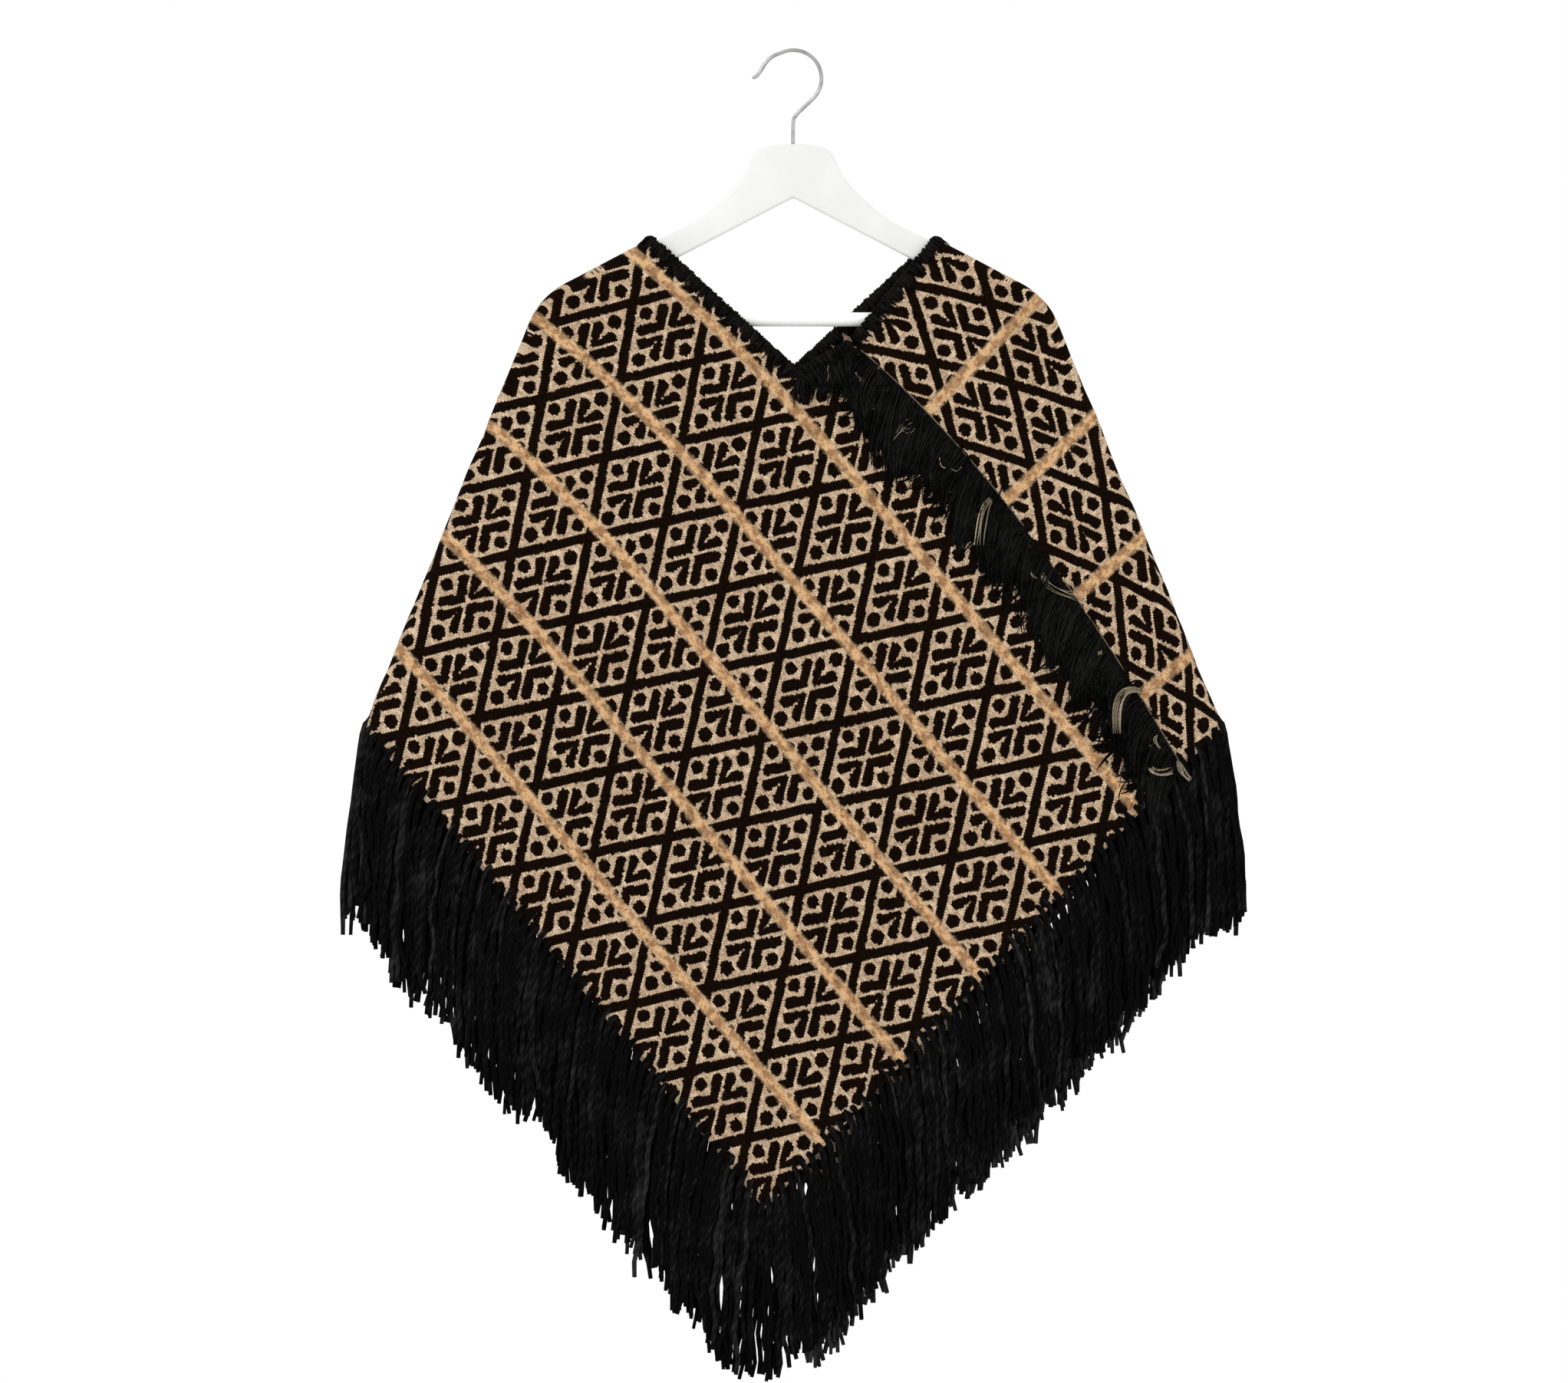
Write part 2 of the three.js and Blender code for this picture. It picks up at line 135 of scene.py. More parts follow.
# How far the front stands from the middle plane: near the arm, at the hem, and between them.
ARM_DEPTH, HEM_DEPTH = 8.4 * MM, 48 * MM
FLARE_TOP, FLARE_END = -190 * MM, -590 * MM
SIDE_TURN = {"round": (5.4, 24), "lobe": (3, 29), "tuck": (0, 95)}  # millimetres at the arm, at the hem
SOFT_FOLDS = np.array([  # top x, z, low x, z, half width and rise, in millimetres
    (-195, -290, -272, -640, 42, 4),
    (-120, -330, -165, -750, 46, -3.5),
    (-30, -380, -55, -860, 52, 3.5),
    (70, -430, 85, -840, 50, -3),
    (205, -290, 290, -600, 42, 3),
]) * MM
FOLD_SWELLS, FOLD_FADES = 0.4, 0.3  # shares of its length, at its top and at its end
DENTS = ((55, 42, 3.1, 1), (21, 19, 7.7, 0.45))  # length, width, layer of noise, height
DENT_LIFT = 0.75  # keeps the dents off the hanger
DENT_SCALE = (0.35, 1.15)  # near the neck and below it

# How the woven pattern lies on the cloth, in millimetres: u runs along the band and v across it.
FRONT_RUN = (0.648, 0.762)  # the band's way over the front: across and down
FRONT_START = 170.6
FRONT_LEAN, LEAN_MIDDLE = 0.109, 226.9
FRONT_BEND, BEND_END = 0.0004, 260
BACK_START = (-30, 71.5)
RIGHT_START = (84.5, -71.5)  # how much further on the pattern starts on the right band
SLOPE_COLUMNS = 6
UV_UNIT = 100.0  # millimetres of cloth in one unit of the UV

# Crossings of the lattice on the other front band, and places on its stripes: x, z, and the number
# along and across. A stripe's place has no number along.
CROSSINGS = np.array([
    (93.2, -200.4, 1, -1), (162.3, -209.5, 2, 0), (119.5, -264.7, 0, 0), (190.4, -277.1, 1, 1),
    (134.3, -328.2, -1, 1), (205.2, -349.6, 0, 2), (265.5, -383, 1, 3), (208.7, -417.5, -1, 3),
    (268.6, -448.4, 0, 4), (317.6, -473.7, 1, 5), (282.3, -517, -1, 5), (48, -252, -1, -1),
])
STRIPE_PLACES = np.array([
    (122, -306, 0.44), (207, -208, 0.44), (174, -380, 2.13), (256, -311.5, 2.13),
    (231, -464.6, 3.82), (294.6, -412.6, 3.82), (305, -536, 5.51), (333, -516, 5.51),
])
FIT_MIDDLE, FIT_REACH = (200, -350), 200
FIT_STIFFNESS = 0.3

# The pattern: a lattice of lozenges in black on beige, with a flower of four leaves and four dots
# in each, and camel stripes that run the length of the band. Its edges step from stitch to stitch.
STITCH = (2.2, 1.9)  # one stitch along and across the band
LOZENGE = (37.15, 56.6)  # half the lozenge along and across the band
LOZENGE_HALF = 31.1  # from the middle of a lozenge to its sides
LATTICE_START = 54.5  # where the first crossing lies
LINE = 4.15  # half the width of a lattice line
STRIPE = {"first": 25.0, "pitch": 95.6, "half": 4.4}
ALONG_LEAF = ((6.2, 1.2), (14.6, 12.6), 4.7, 5.3)  # middle line, half-width at root and tip
ACROSS_LEAF = ((8.0, 3.0), (20.8, 7.5), 4.1, 5.4)
CROSS_LINE = 1.25  # half the width of the flower's own cross
DOT_PLACE = (22.8, 33.6)  # from the lozenge's middle, towards its ends and its sides
DOT_RADIUS = (5.6, 6.2)
EDGE_BLUR = 0.35  # half the width over which one colour passes into the next
STEPS_SHARE = 0.6  # how much of each edge follows the stitches

DYES_AND_PAINTED_SHADE = {
    "beige": (0.65, 0.455, 0.295),
    "light beige": (0.75, 0.555, 0.375),
    "brown hair": (0.30, 0.20, 0.12),
    "cream": (0.95, 0.72, 0.50),
    "camel": (0.90, 0.54, 0.26),
    "dark camel": (0.43, 0.21, 0.083),
    "light camel": (0.96, 0.63, 0.34),
    "dark fleck": (0.14, 0.062, 0.026),
    "black": (0.0046, 0.0019, 0.0009),
    "worn black": (0.0125, 0.0062, 0.0030),
    "stain": (0.10, 0.045, 0.02),
    # Painted shade for the grooves between the stitches.
    "painted_groove_shade": (0.06, 0.032, 0.016),
}


def unit(vectors):
    return vectors / np.maximum(np.linalg.norm(vectors, axis=-1, keepdims=True), 1e-12)


def mix(a, b, t):
    return a + (b - a) * t


def ease(t):
    t = np.clip(t, 0, 1)
    return t * t * (3 - 2 * t)


def quadratic(t, a, b, c):
    t = np.asarray(t, float)[..., None]
    return (1 - t) ** 2 * a + 2 * (1 - t) * t * b + t**2 * c


def cubic(t, a, b, c, d):
    return (1 - t) ** 3 * a + 3 * (1 - t) ** 2 * t * b + 3 * (1 - t) * t**2 * c + t**3 * d


def run_length(points):
    """How far along a line each of its points lies. The last two axes are the points and x, y, z."""
    step = np.linalg.norm(np.diff(points, axis=-2), axis=-1)
    return np.concatenate([np.zeros((*step.shape[:-1], 1)), np.cumsum(step, axis=-1)], axis=-1)


def face_depth(x, z):
    """How far the front stands from the middle plane."""
    depth = mix(ARM_DEPTH, HEM_DEPTH, ease((FLARE_TOP - z) / (FLARE_TOP - FLARE_END)))
    for top_x, top_z, low_x, low_z, half, rise in SOFT_FOLDS:
        run = np.array([low_x - top_x, low_z - top_z])
        along = ((x - top_x) * run[0] + (z - top_z) * run[1]) / (run @ run)
        off = np.hypot(x - top_x - along * run[0], z - top_z - along * run[1])
        share = ease(along / FOLD_SWELLS) * ease((1 - along) / FOLD_FADES)
        depth = depth + rise * share * np.exp(-((off / half) ** 2))
    return depth


def side_line():
    """The side of the garment, from the neck over the shoulder to the hem."""
    up = SHOULDER_TIP + unit(NECK_CORNER - SHOULDER_TIP) * SHOULDER_BEND
    down = SHOULDER_TIP + unit(HEM_SIDE - SHOULDER_TIP) * SHOULDER_BEND
    bend = quadratic(np.linspace(0, 1, SHOULDER_STEPS), up, SHOULDER_TIP, down)
    return np.concatenate([[NECK_CORNER], bend, [HEM_SIDE]])


SIDE = side_line()
SIDE_LENGTH = run_length(SIDE)
ARM_SHARE = np.linalg.norm(NECK_CORNER - SHOULDER_TIP) / SIDE_LENGTH[-1]


def side_point(s):
    return np.array([np.interp(s, SIDE_LENGTH / SIDE_LENGTH[-1], SIDE[:, k]) for k in (0, 1)])


def band_level(s):
    """The points along the band at one level."""
    side = side_point(s)
    way = unit(side_point(min(s + 0.002, 1)) - side_point(max(s - 0.002, 0)))
    outward = np.array([way[1], -way[0]])
    down = np.clip((s - ARM_SHARE) / (1 - ARM_SHARE), 0, 1)
    bend, lobe = (mix(*SIDE_TURN[key], down) * MM for key in ("round", "lobe"))
    tuck = mix(*SIDE_TURN["tuck"], ease(down)) * MM
    front_seam = quadratic(s, SEAM_TOP, SEAM_BOW, SEAM_END)
    back_seam = front_seam * (-1, 1)
    middle = mix(NECK_FOOT, HEM_POINT, s)
    front_way, back_way = unit(side - middle), unit(side - back_seam)

    def reach(direction, distance):
        return side + direction * np.asarray(distance)[..., None] / (direction @ outward)

    front_edge, back_edge = reach(front_way, -bend), reach(back_way, -bend)

    def face(start, end, count, sign, last=False):
        p = mix(start, end, (np.arange(count + last) / count)[:, None])
        return np.stack([p[:, 0], sign * face_depth(-sign * p[:, 0], p[:, 1]), p[:, 1]], axis=1)

    def out_turn(direction, edge, sign, t):
        """The cloth rounds the side: from the face to the fullest place of its lobe."""
        depth = face_depth(-sign * edge[0], edge[1])
        p = reach(direction, cubic(t, -bend, -bend * 0.45, 0, 0))
        y = sign * cubic(t, depth, depth, mix(lobe, depth, 0.55), lobe)
        return np.stack([p[:, 0], y, p[:, 1]], axis=1)

    def in_turn(sign, t):
        """From there inward to the bottom of the tuck."""
        x = side[0] + cubic(t, 0, 0, tuck, tuck)
        y = sign * cubic(t, lobe, lobe * 0.4, lobe * 0.75, 0)
        return np.stack([x, y, np.full(len(t), side[1])], axis=1)

    t = np.arange(CELLS["turn"]) / CELLS["turn"]
    return np.concatenate([
        face(front_seam, middle, CELLS["seam"], -1),
        face(middle, front_edge, CELLS["side"], -1),
        out_turn(front_way, front_edge, -1, t),
        in_turn(-1, t),
        in_turn(1, 1 - t),
        out_turn(back_way, back_edge, 1, 1 - t),
        face(back_edge, back_seam, CELLS["back"], 1, last=True),
    ])


def band_normals():
    """Out of the cloth at each point of the grid: on the front, to the front."""
    return unit(np.cross(np.gradient(BAND, axis=1), np.gradient(BAND, axis=0)))


BAND = np.array([band_level(s) for s in np.linspace(0, 1, ROWS + 1)])
NORMALS = band_normals()


def front_cloth(x, z):
    """Where a place on the left band's front lies in the pattern."""
    u = FRONT_RUN[0] * x - FRONT_RUN[1] * z
    v = -FRONT_RUN[1] * x - FRONT_RUN[0] * z - FRONT_START
    return u - FRONT_LEAN * (v - LEAN_MIDDLE), v - FRONT_BEND * np.maximum(0, BEND_END - u) ** 2


def curved_terms(x, z):
    x, z = (x - FIT_MIDDLE[0]) / FIT_REACH, (z - FIT_MIDDLE[1]) / FIT_REACH
    return np.stack([np.ones_like(x), x, z, x * x, x * z, z * z], axis=-1)


def gentle_fit(places, numbers):
    """The smoothest slightly curved field that has these numbers at these places."""
    terms = curved_terms(*places.T)
    stiffness = np.diag([0, 0, 0] + [FIT_STIFFNESS] * 3)
    return np.linalg.solve(terms.T @ terms + stiffness, terms.T @ numbers)


def back_cloth(x, z):
    """Where a place on its back lies, which is the other band's front turned."""
    along = gentle_fit(CROSSINGS[:, :2], CROSSINGS[:, 2])
    across = gentle_fit(
        np.concatenate([CROSSINGS[:, :2], STRIPE_PLACES[:, :2]]),
        np.concatenate([CROSSINGS[:, 3], STRIPE_PLACES[:, 2]]),
    )
    terms = curved_terms(-x, z)
    return LOZENGE[0] * (terms @ along) + BACK_START[0], LOZENGE[1] * (terms @ across) + BACK_START[1]


def cloth_places():
    """u and v at each point of the band's grid. Round the side they follow the cloth's length."""
    x, z = BAND[..., 0] / MM, BAND[..., 2] / MM
    place = np.stack(front_cloth(x, z), axis=-1)
    place[:, TURN_END:] = np.stack(back_cloth(x, z), axis=-1)[:, TURN_END:]
    length = run_length(BAND / MM)
    a, b, near = TURN_START, TURN_END, SLOPE_COLUMNS
    span = (length[:, b] - length[:, a])[:, None]
    slope_a = (place[:, a] - place[:, a - near]) / (length[:, a] - length[:, a - near])[:, None]
    slope_b = (place[:, b + near] - place[:, b]) / (length[:, b + near] - length[:, b])[:, None]
    for k in range(a + 1, b):
        t = (length[:, k] - length[:, a])[:, None] / span
        place[:, k] = (
            (2 * t**3 - 3 * t**2 + 1) * place[:, a]
            + (t**3 - 2 * t**2 + t) * span * slope_a
            + (3 * t**2 - 2 * t**3) * place[:, b]
            + (t**3 - t**2) * span * slope_b
        )
    return place


CLOTH = cloth_places()


def soft_relief():
    """Small dents and swells of hand-woven cloth, never towards the hanger."""
    relief = np.zeros(BAND.shape[:2])
    for j, i in np.ndindex(*relief.shape):
        u, v = CLOTH[j, i]
        for length, width, layer, height in DENTS:
            relief[j, i] += height * noise.noise((u / length, v / width, layer))
    s = np.linspace(0, 1, ROWS + 1)[:, None]
    return (relief + DENT_LIFT) * mix(*DENT_SCALE, ease((s - 0.05) / 0.4)) * MM


RELIEF = soft_relief()
SURFACE = BAND + NORMALS * RELIEF[..., None]  # the middle of the cloth


class Field:
    """A value at each point of a surface, worked out by Math nodes."""

    def __init__(self, tree, socket):
        self.tree = tree
        self.socket = socket

    def math(self, operation, *others):
        node = self.tree.nodes.new("ShaderNodeMath")
        node.operation = operation
        for n, value in enumerate((self, *others)):
            if isinstance(value, Field):
                self.tree.links.new(value.socket, node.inputs[n])
            else:
                node.inputs[n].default_value = value
        return Field(self.tree, node.outputs[0])

    def __add__(self, other):
        return self.math("ADD", other)

    def __sub__(self, other):
        return self.math("SUBTRACT", other)

    def __mul__(self, other):
        return self.math("MULTIPLY", other)

    def __truediv__(self, other):
        return self.math("DIVIDE", other)

    def rest(self):
        """What is left of 1."""
        return self * -1.0 + 1.0

    def above(self, low, high):
        """0 at low, 1 at high, smooth between them."""
        node = self.tree.nodes.new("ShaderNodeMapRange")
        node.interpolation_type = "SMOOTHSTEP"
        self.tree.links.new(self.socket, node.inputs["Value"])
        node.inputs["From Min"].default_value = low
        node.inputs["From Max"].default_value = high
        return Field(self.tree, node.outputs["Result"])


def vector_of(x, y, z=0.0):
    node = x.tree.nodes.new("ShaderNodeCombineXYZ")
    for n, value in enumerate((x, y, z)):
        if isinstance(value, Field):
            x.tree.links.new(value.socket, node.inputs[n])
        else:
            node.inputs[n].default_value = value
    return node.outputs[0]


def noise_field(tree, vector, scale=1.0, detail=2.0):
    node = tree.nodes.new("ShaderNodeTexNoise")
    node.inputs["Scale"].default_value = scale
    node.inputs["Detail"].default_value = detail
    tree.links.new(vector, node.inputs["Vector"])
    return Field(tree, node.outputs["Fac"])


def random_field(tree, vector):
    node = tree.nodes.new("ShaderNodeTexWhiteNoise")
    tree.links.new(vector, node.inputs["Vector"])
    return Field(tree, node.outputs["Value"])


def uv_fields(tree):
    """The two parts of the UV."""
    uv = tree.nodes.new("ShaderNodeUVMap")
    uv.uv_map = "cloth"
    parts = tree.nodes.new("ShaderNodeSeparateXYZ")
    tree.links.new(uv.outputs["UV"], parts.inputs[0])
    return Field(tree, parts.outputs[0]), Field(tree, parts.outputs[1])


def colour_mix(share, a, b):
    """Colour a where share is 0 and b where it is 1. Each is an (r, g, b) or a socket."""
    node = share.tree.nodes.new("ShaderNodeMix")
    node.data_type = "RGBA"
    share.tree.links.new(share.socket, node.inputs["Factor"])
    for name, colour in (("A", a), ("B", b)):
        socket = next(s for s in node.inputs if s.name == name and s.type == "RGBA")
        if isinstance(colour, tuple):
            socket.default_value = (*colour, 1)
        else:
            share.tree.links.new(colour, socket)
    return next(s for s in node.outputs if s.type == "RGBA")


def effect(name, colours=(), values=()):
    """A new node group that takes these colours and values: its tree, and their sockets in it."""
    tree = bpy.data.node_groups.new(name, "ShaderNodeTree")
    for kind, sockets in (("NodeSocketColor", colours), ("NodeSocketFloat", values)):
        for socket in sockets:
            tree.interface.new_socket(socket, in_out="INPUT", socket_type=kind)
    return tree, tree.nodes.new("NodeGroupInput").outputs


def put_out(tree, colour, **fields):
    """The node group puts out this colour, and these fields under their own names."""
    tree.interface.new_socket("Colour", in_out="OUTPUT", socket_type="NodeSocketColor")
    for name in fields:
        tree.interface.new_socket(name, in_out="OUTPUT", socket_type="NodeSocketFloat")
    output = tree.nodes.new("NodeGroupOutput")
    tree.links.new(colour, output.inputs["Colour"])
    for name, field in fields.items():
        tree.links.new(field.socket, output.inputs[name])
    return tree


def material_from(name, group, values, settings, bump):
    """A material whose colour, bump and roughness come from a node group, which gets these values
    of its own. bump is the strength and the height in metres."""
    material = bpy.data.materials.new(name)
    material.use_nodes = True
    tree = material.node_tree
    shader = tree.nodes["Principled BSDF"]
    for socket, value in settings.items():
        shader.inputs[socket].default_value = value
    source = tree.nodes.new("ShaderNodeGroup")
    source.node_tree = group
    for socket, value in values.items():
        source.inputs[socket].default_value = (*value, 1) if isinstance(value, tuple) else value
    tree.links.new(source.outputs["Colour"], shader.inputs["Base Color"])
    if "Roughness" in source.outputs:
        tree.links.new(source.outputs["Roughness"], shader.inputs["Roughness"])
    relief = tree.nodes.new("ShaderNodeBump")
    relief.inputs["Strength"].default_value, relief.inputs["Distance"].default_value = bump
    tree.links.new(source.outputs["Height"], relief.inputs["Height"])
    tree.links.new(relief.outputs["Normal"], shader.inputs["Normal"])
    return material


def capsule(x, y, start, end, root, tip):
    """How far a point is from a rounded bar that widens from root to tip, negative inside."""
    run = (end[0] - start[0], end[1] - start[1])
    square = run[0] ** 2 + run[1] ** 2
    t = (x - start[0]) * (run[0] / square) + (y - start[1]) * (run[1] / square)
    t = t.math("MAXIMUM", 0.0).math("MINIMUM", 1.0)
    dx = x - start[0] - t * run[0]
    dy = y - start[1] - t * run[1]
    return (dx * dx + dy * dy).math("SQRT") - root - t * (tip - root)


def dot(x, y, middle, radius):
    dx = x - middle
    return (dx * dx + y * y).math("SQRT") - radius


def inside(distance):
    """1 inside a form and 0 outside it."""
    return distance.above(EDGE_BLUR, -EDGE_BLUR)


def weave_effect():
    tree, _ = effect("weave")
    u, v = (part * UV_UNIT for part in uv_fields(tree))

    def cloth_noise(length, width, detail=2.0):
        return noise_field(tree, vector_of(u / length, v / width), detail=detail)

    # Stitches, in a brick bond, and the wobble of hand weaving.
    row = (v / STITCH[1]).math("FLOOR")
    shift = row.math("FLOORED_MODULO", 2.0) * 0.5
    cell = (u / STITCH[0] + shift).math("FLOOR")
    chance = random_field(tree, vector_of(cell, row))
    stitch_u = (cell + 0.5 - shift) * STITCH[0]
    stitch_v = (row + 0.5) * STITCH[1]
    wobble = cloth_noise(30.0, 30.0) - 0.5
    pattern_u = u * (1 - STEPS_SHARE) + stitch_u * STEPS_SHARE + wobble * 2.4
    pattern_v = v * (1 - STEPS_SHARE) + stitch_v * STEPS_SHARE + wobble * 1.8

    # The place in its lozenge: a and b grow from its middle lines to 1 at its sides.
    p = (pattern_u - LATTICE_START) / LOZENGE[0]
    q = pattern_v / LOZENGE[1]
    s = (p + q - 1.0).math("WRAP", 1.0, -1.0)
    t = (p - q - 1.0).math("WRAP", 1.0, -1.0)
    a, b = s.math("ABSOLUTE"), t.math("ABSOLUTE")
    in_sides = (s * t).math("LESS_THAN", 0.0)
    in_ends = in_sides.rest()
    total, apart = a + b, (a - b).math("ABSOLUTE")
    line = a.math("MAXIMUM", b).rest() * LOZENGE_HALF - LINE
    ends = total * (LOZENGE[0] / 2), apart * (LOZENGE[1] / 2)
    sides = total * (LOZENGE[1] / 2), apart * (LOZENGE[0] / 2)
    leaves = capsule(*sides, *ACROSS_LEAF) * in_sides + capsule(*ends, *ALONG_LEAF) * in_ends
    leaves = leaves.math("MAXIMUM", a.math("MINIMUM", b) * -LOZENGE_HALF + CROSS_LINE)
    end_dot, side_dot = (
        dot(*place, middle, radius) for place, middle, radius in zip((ends, sides), DOT_PLACE, DOT_RADIUS)
    )
    dots = side_dot * in_sides + end_dot * in_ends
    fray = (chance - 0.5) * 0.9 + (cloth_noise(4.5, 3.6) - 0.5) * 2.0

    stripe = (v - STRIPE["first"]).math("WRAP", STRIPE["pitch"] / 2, -STRIPE["pitch"] / 2)
    stripe_edge = stripe.math("ABSOLUTE") - STRIPE["half"] + wobble * 3.0 + fray * 1.4
    in_stripe = stripe_edge.above(1.9, -1.7)
    black_line = inside(line + fray * 0.8) * in_stripe.rest()
    black_flower = inside(leaves.math("MINIMUM", dots) + fray) * in_stripe.rest()
    black = black_line.math("MAXIMUM", black_flower)

    # The colours of the wool, with its mottle and its flecks.
    patch = cloth_noise(60.0, 60.0, 3.0)
    mottle = cloth_noise(7.0, 5.0, 3.0)
    grain = cloth_noise(3.1, 2.4)
    blotch = cloth_noise(10.0, 8.0)
    ground = colour_mix(patch.above(0.3, 0.7), DYES_AND_PAINTED_SHADE["beige"], DYES_AND_PAINTED_SHADE["light beige"])
    ground = colour_mix(grain.above(0.44, 0.68) * 0.72 + chance * 0.16, ground, DYES_AND_PAINTED_SHADE["brown hair"])
    ground = colour_mix(mottle.above(0.50, 0.68) * 0.75, ground, DYES_AND_PAINTED_SHADE["cream"])
    camel = colour_mix(blotch.above(0.42, 0.58), DYES_AND_PAINTED_SHADE["camel"], DYES_AND_PAINTED_SHADE["dark camel"])
    camel = colour_mix(mottle.above(0.50, 0.66) * 0.55, camel, DYES_AND_PAINTED_SHADE["light camel"])
    flecks = grain.above(0.56, 0.68) * 0.5 + chance.above(0.84, 1.0) * 0.3
    camel = colour_mix(flecks, camel, DYES_AND_PAINTED_SHADE["dark fleck"])
    cloth = colour_mix(in_stripe * 0.86, ground, camel)
    stained = colour_mix(inside(dots + fray) * in_stripe * 0.38, cloth, DYES_AND_PAINTED_SHADE["stain"])
    colour = colour_mix(black, stained, colour_mix(chance * 0.6, DYES_AND_PAINTED_SHADE["black"], DYES_AND_PAINTED_SHADE["worn black"]))

    # Each stitch is a low pillow; its neighbours leave a groove. Painted shade darkens the colour in the
    # grooves, except on the black.
    across_stitch = (u / STITCH[0] + shift).math("FRACT") * math.pi
    down_stitch = (v / STITCH[1]).math("FRACT") * math.pi
    pillow = across_stitch.math("SINE").math("SQRT") * down_stitch.math("SINE").math("SQRT")
    fibre = cloth_noise(0.625, 0.3125, 3.0)
    painted_groove_shade = (pillow.above(0.0, 0.75) * -0.4 + 0.4) * black.rest()
    return put_out(
        tree,
        colour_mix(painted_groove_shade, colour, DYES_AND_PAINTED_SHADE["painted_groove_shade"]),
        Height=pillow + chance * 0.35 + fibre * 0.45 + black * 0.2,
        Roughness=fibre * 0.12 + 0.84,
    )


def turned(points):
    """Half a turn about the upright axis."""
    return np.asarray(points) * (-1, -1, 1)


def quad_object(name, points, quads, material, uv=None):
    """A mesh of four-sided faces that rides on the object. uv has a place for each face's corners."""
    points = np.asarray(points, float).reshape(-1, 3)
    quads = np.asarray(quads, np.int32).reshape(-1, 4)
    mesh = bpy.data.meshes.new(name)
    mesh.vertices.add(len(points))
    mesh.vertices.foreach_set("co", points.ravel())
    mesh.loops.add(quads.size)
    mesh.loops.foreach_set("vertex_index", quads.ravel())
    mesh.polygons.add(len(quads))
    mesh.polygons.foreach_set("loop_start", np.arange(0, quads.size, 4, dtype=np.int32))
    mesh.polygons.foreach_set("use_smooth", np.ones(len(quads), bool))
    if uv is not None:
        layer = mesh.uv_layers.new(name="cloth")
        layer.data.foreach_set("uv", np.asarray(uv, np.float32).ravel())
    mesh.update(calc_edges=True)
    mesh.validate()
    mesh.materials.append(material)
    piece = put_in_scene(name, mesh)
    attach(piece, "root")
    return piece


def both_sides(name, ends, geometry, material, node=None, fellow=None):
    """A piece and its fellow, which is turned and has a geometry of its own where one is given.
    Their names, and those of the nodes that they stand for, differ in their ends."""
    pieces = []
    for end, (points, quads, uv) in zip(ends, (geometry, fellow or geometry)):
        places = turned(points) if pieces else points
        piece = quad_object(name + end, places, quads, material, uv)
        if node:
            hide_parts(node + end)
        pieces.append(piece)
    return pieces


def band_cloth(pattern_start):
    """A closed wall round the band's surface. The pattern starts so far on, along and across."""
    points = np.concatenate([(SURFACE + NORMALS * side * WALL / 2).reshape(-1, 3) for side in (1, -1)])
    down, across = BAND.shape[:2]
    numbers = np.arange(down * across).reshape(down, across)
    a = numbers[:-1, :-1].ravel()
    face = np.stack([a, a + 1, a + across + 1, a + across], axis=1)
    rim = np.concatenate([numbers[0, :-1], numbers[:-1, -1], numbers[-1, :0:-1], numbers[:0:-1, 0]])
    following = np.roll(rim, -1)
    edge = np.stack([rim, following, following + numbers.size, rim + numbers.size], axis=1)
    quads = np.concatenate([face, face[:, ::-1] + numbers.size, edge])
    place = (CLOTH.reshape(-1, 2) + pattern_start) / UV_UNIT
    return points, quads, np.concatenate([place, place])[quads]


woven_wool = material_from(
    "woven wool", weave_effect(), {}, {"Specular IOR Level": 0.018}, (0.75, 0.0014)
)
bands = both_sides(
    "cloth_",
    ("left", "right"),
    band_cloth((0, 0)),
    woven_wool,
    "panel_",
    fellow=band_cloth(RIGHT_START),
)

# ---- Neck edging ----
# The raw edge of the V is overcast with black wool yarn: a roll along the edge, under close
# stitches that reach unevenly into the cloth in front and behind.

rng = np.random.default_rng(11)
PLIES = 2.0
# The crown's share is a painted highlight along one side of each yarn.
LIGHTNESS = {  # what each adds to the share of a yarn's light shade
    "least": 0.06, "own": 0.5, "painted_crown_highlight": 0.24, "twist": 0.1, "fibre": 0.7, "patch": 0.9,
}
EDGING_SHADES = {"Dark": (0.0012, 0.0011, 0.0010), "Light": (0.0125, 0.0118, 0.0108), "Pitch": 0.006}
ROLL = {"radius": 3.0 * MM, "above": 0.4 * MM, "sides": 10, "ends": 3, "step": 2}
OVERCAST = (  # how many, radius, reach into the cloth, spread of its slant, sides
    (190, (1.1, 1.6), (0.5, 6.0), 1.2, 6),
    (120, (0.45, 0.7), (2.0, 8.5), 3.0, 4),
)
OVERCAST_TAPER = (0.55, 0.9, 1, 1, 1, 1, 1, 1, 1, 0.9, 0.55)  # of the radius, ring by ring
EDGE_OFF, EDGE_ARCH, EDGE_RISE, EDGE_LIFT = 1.5 * MM, 5.0 * MM, 1.6 * MM, 0.3 * MM


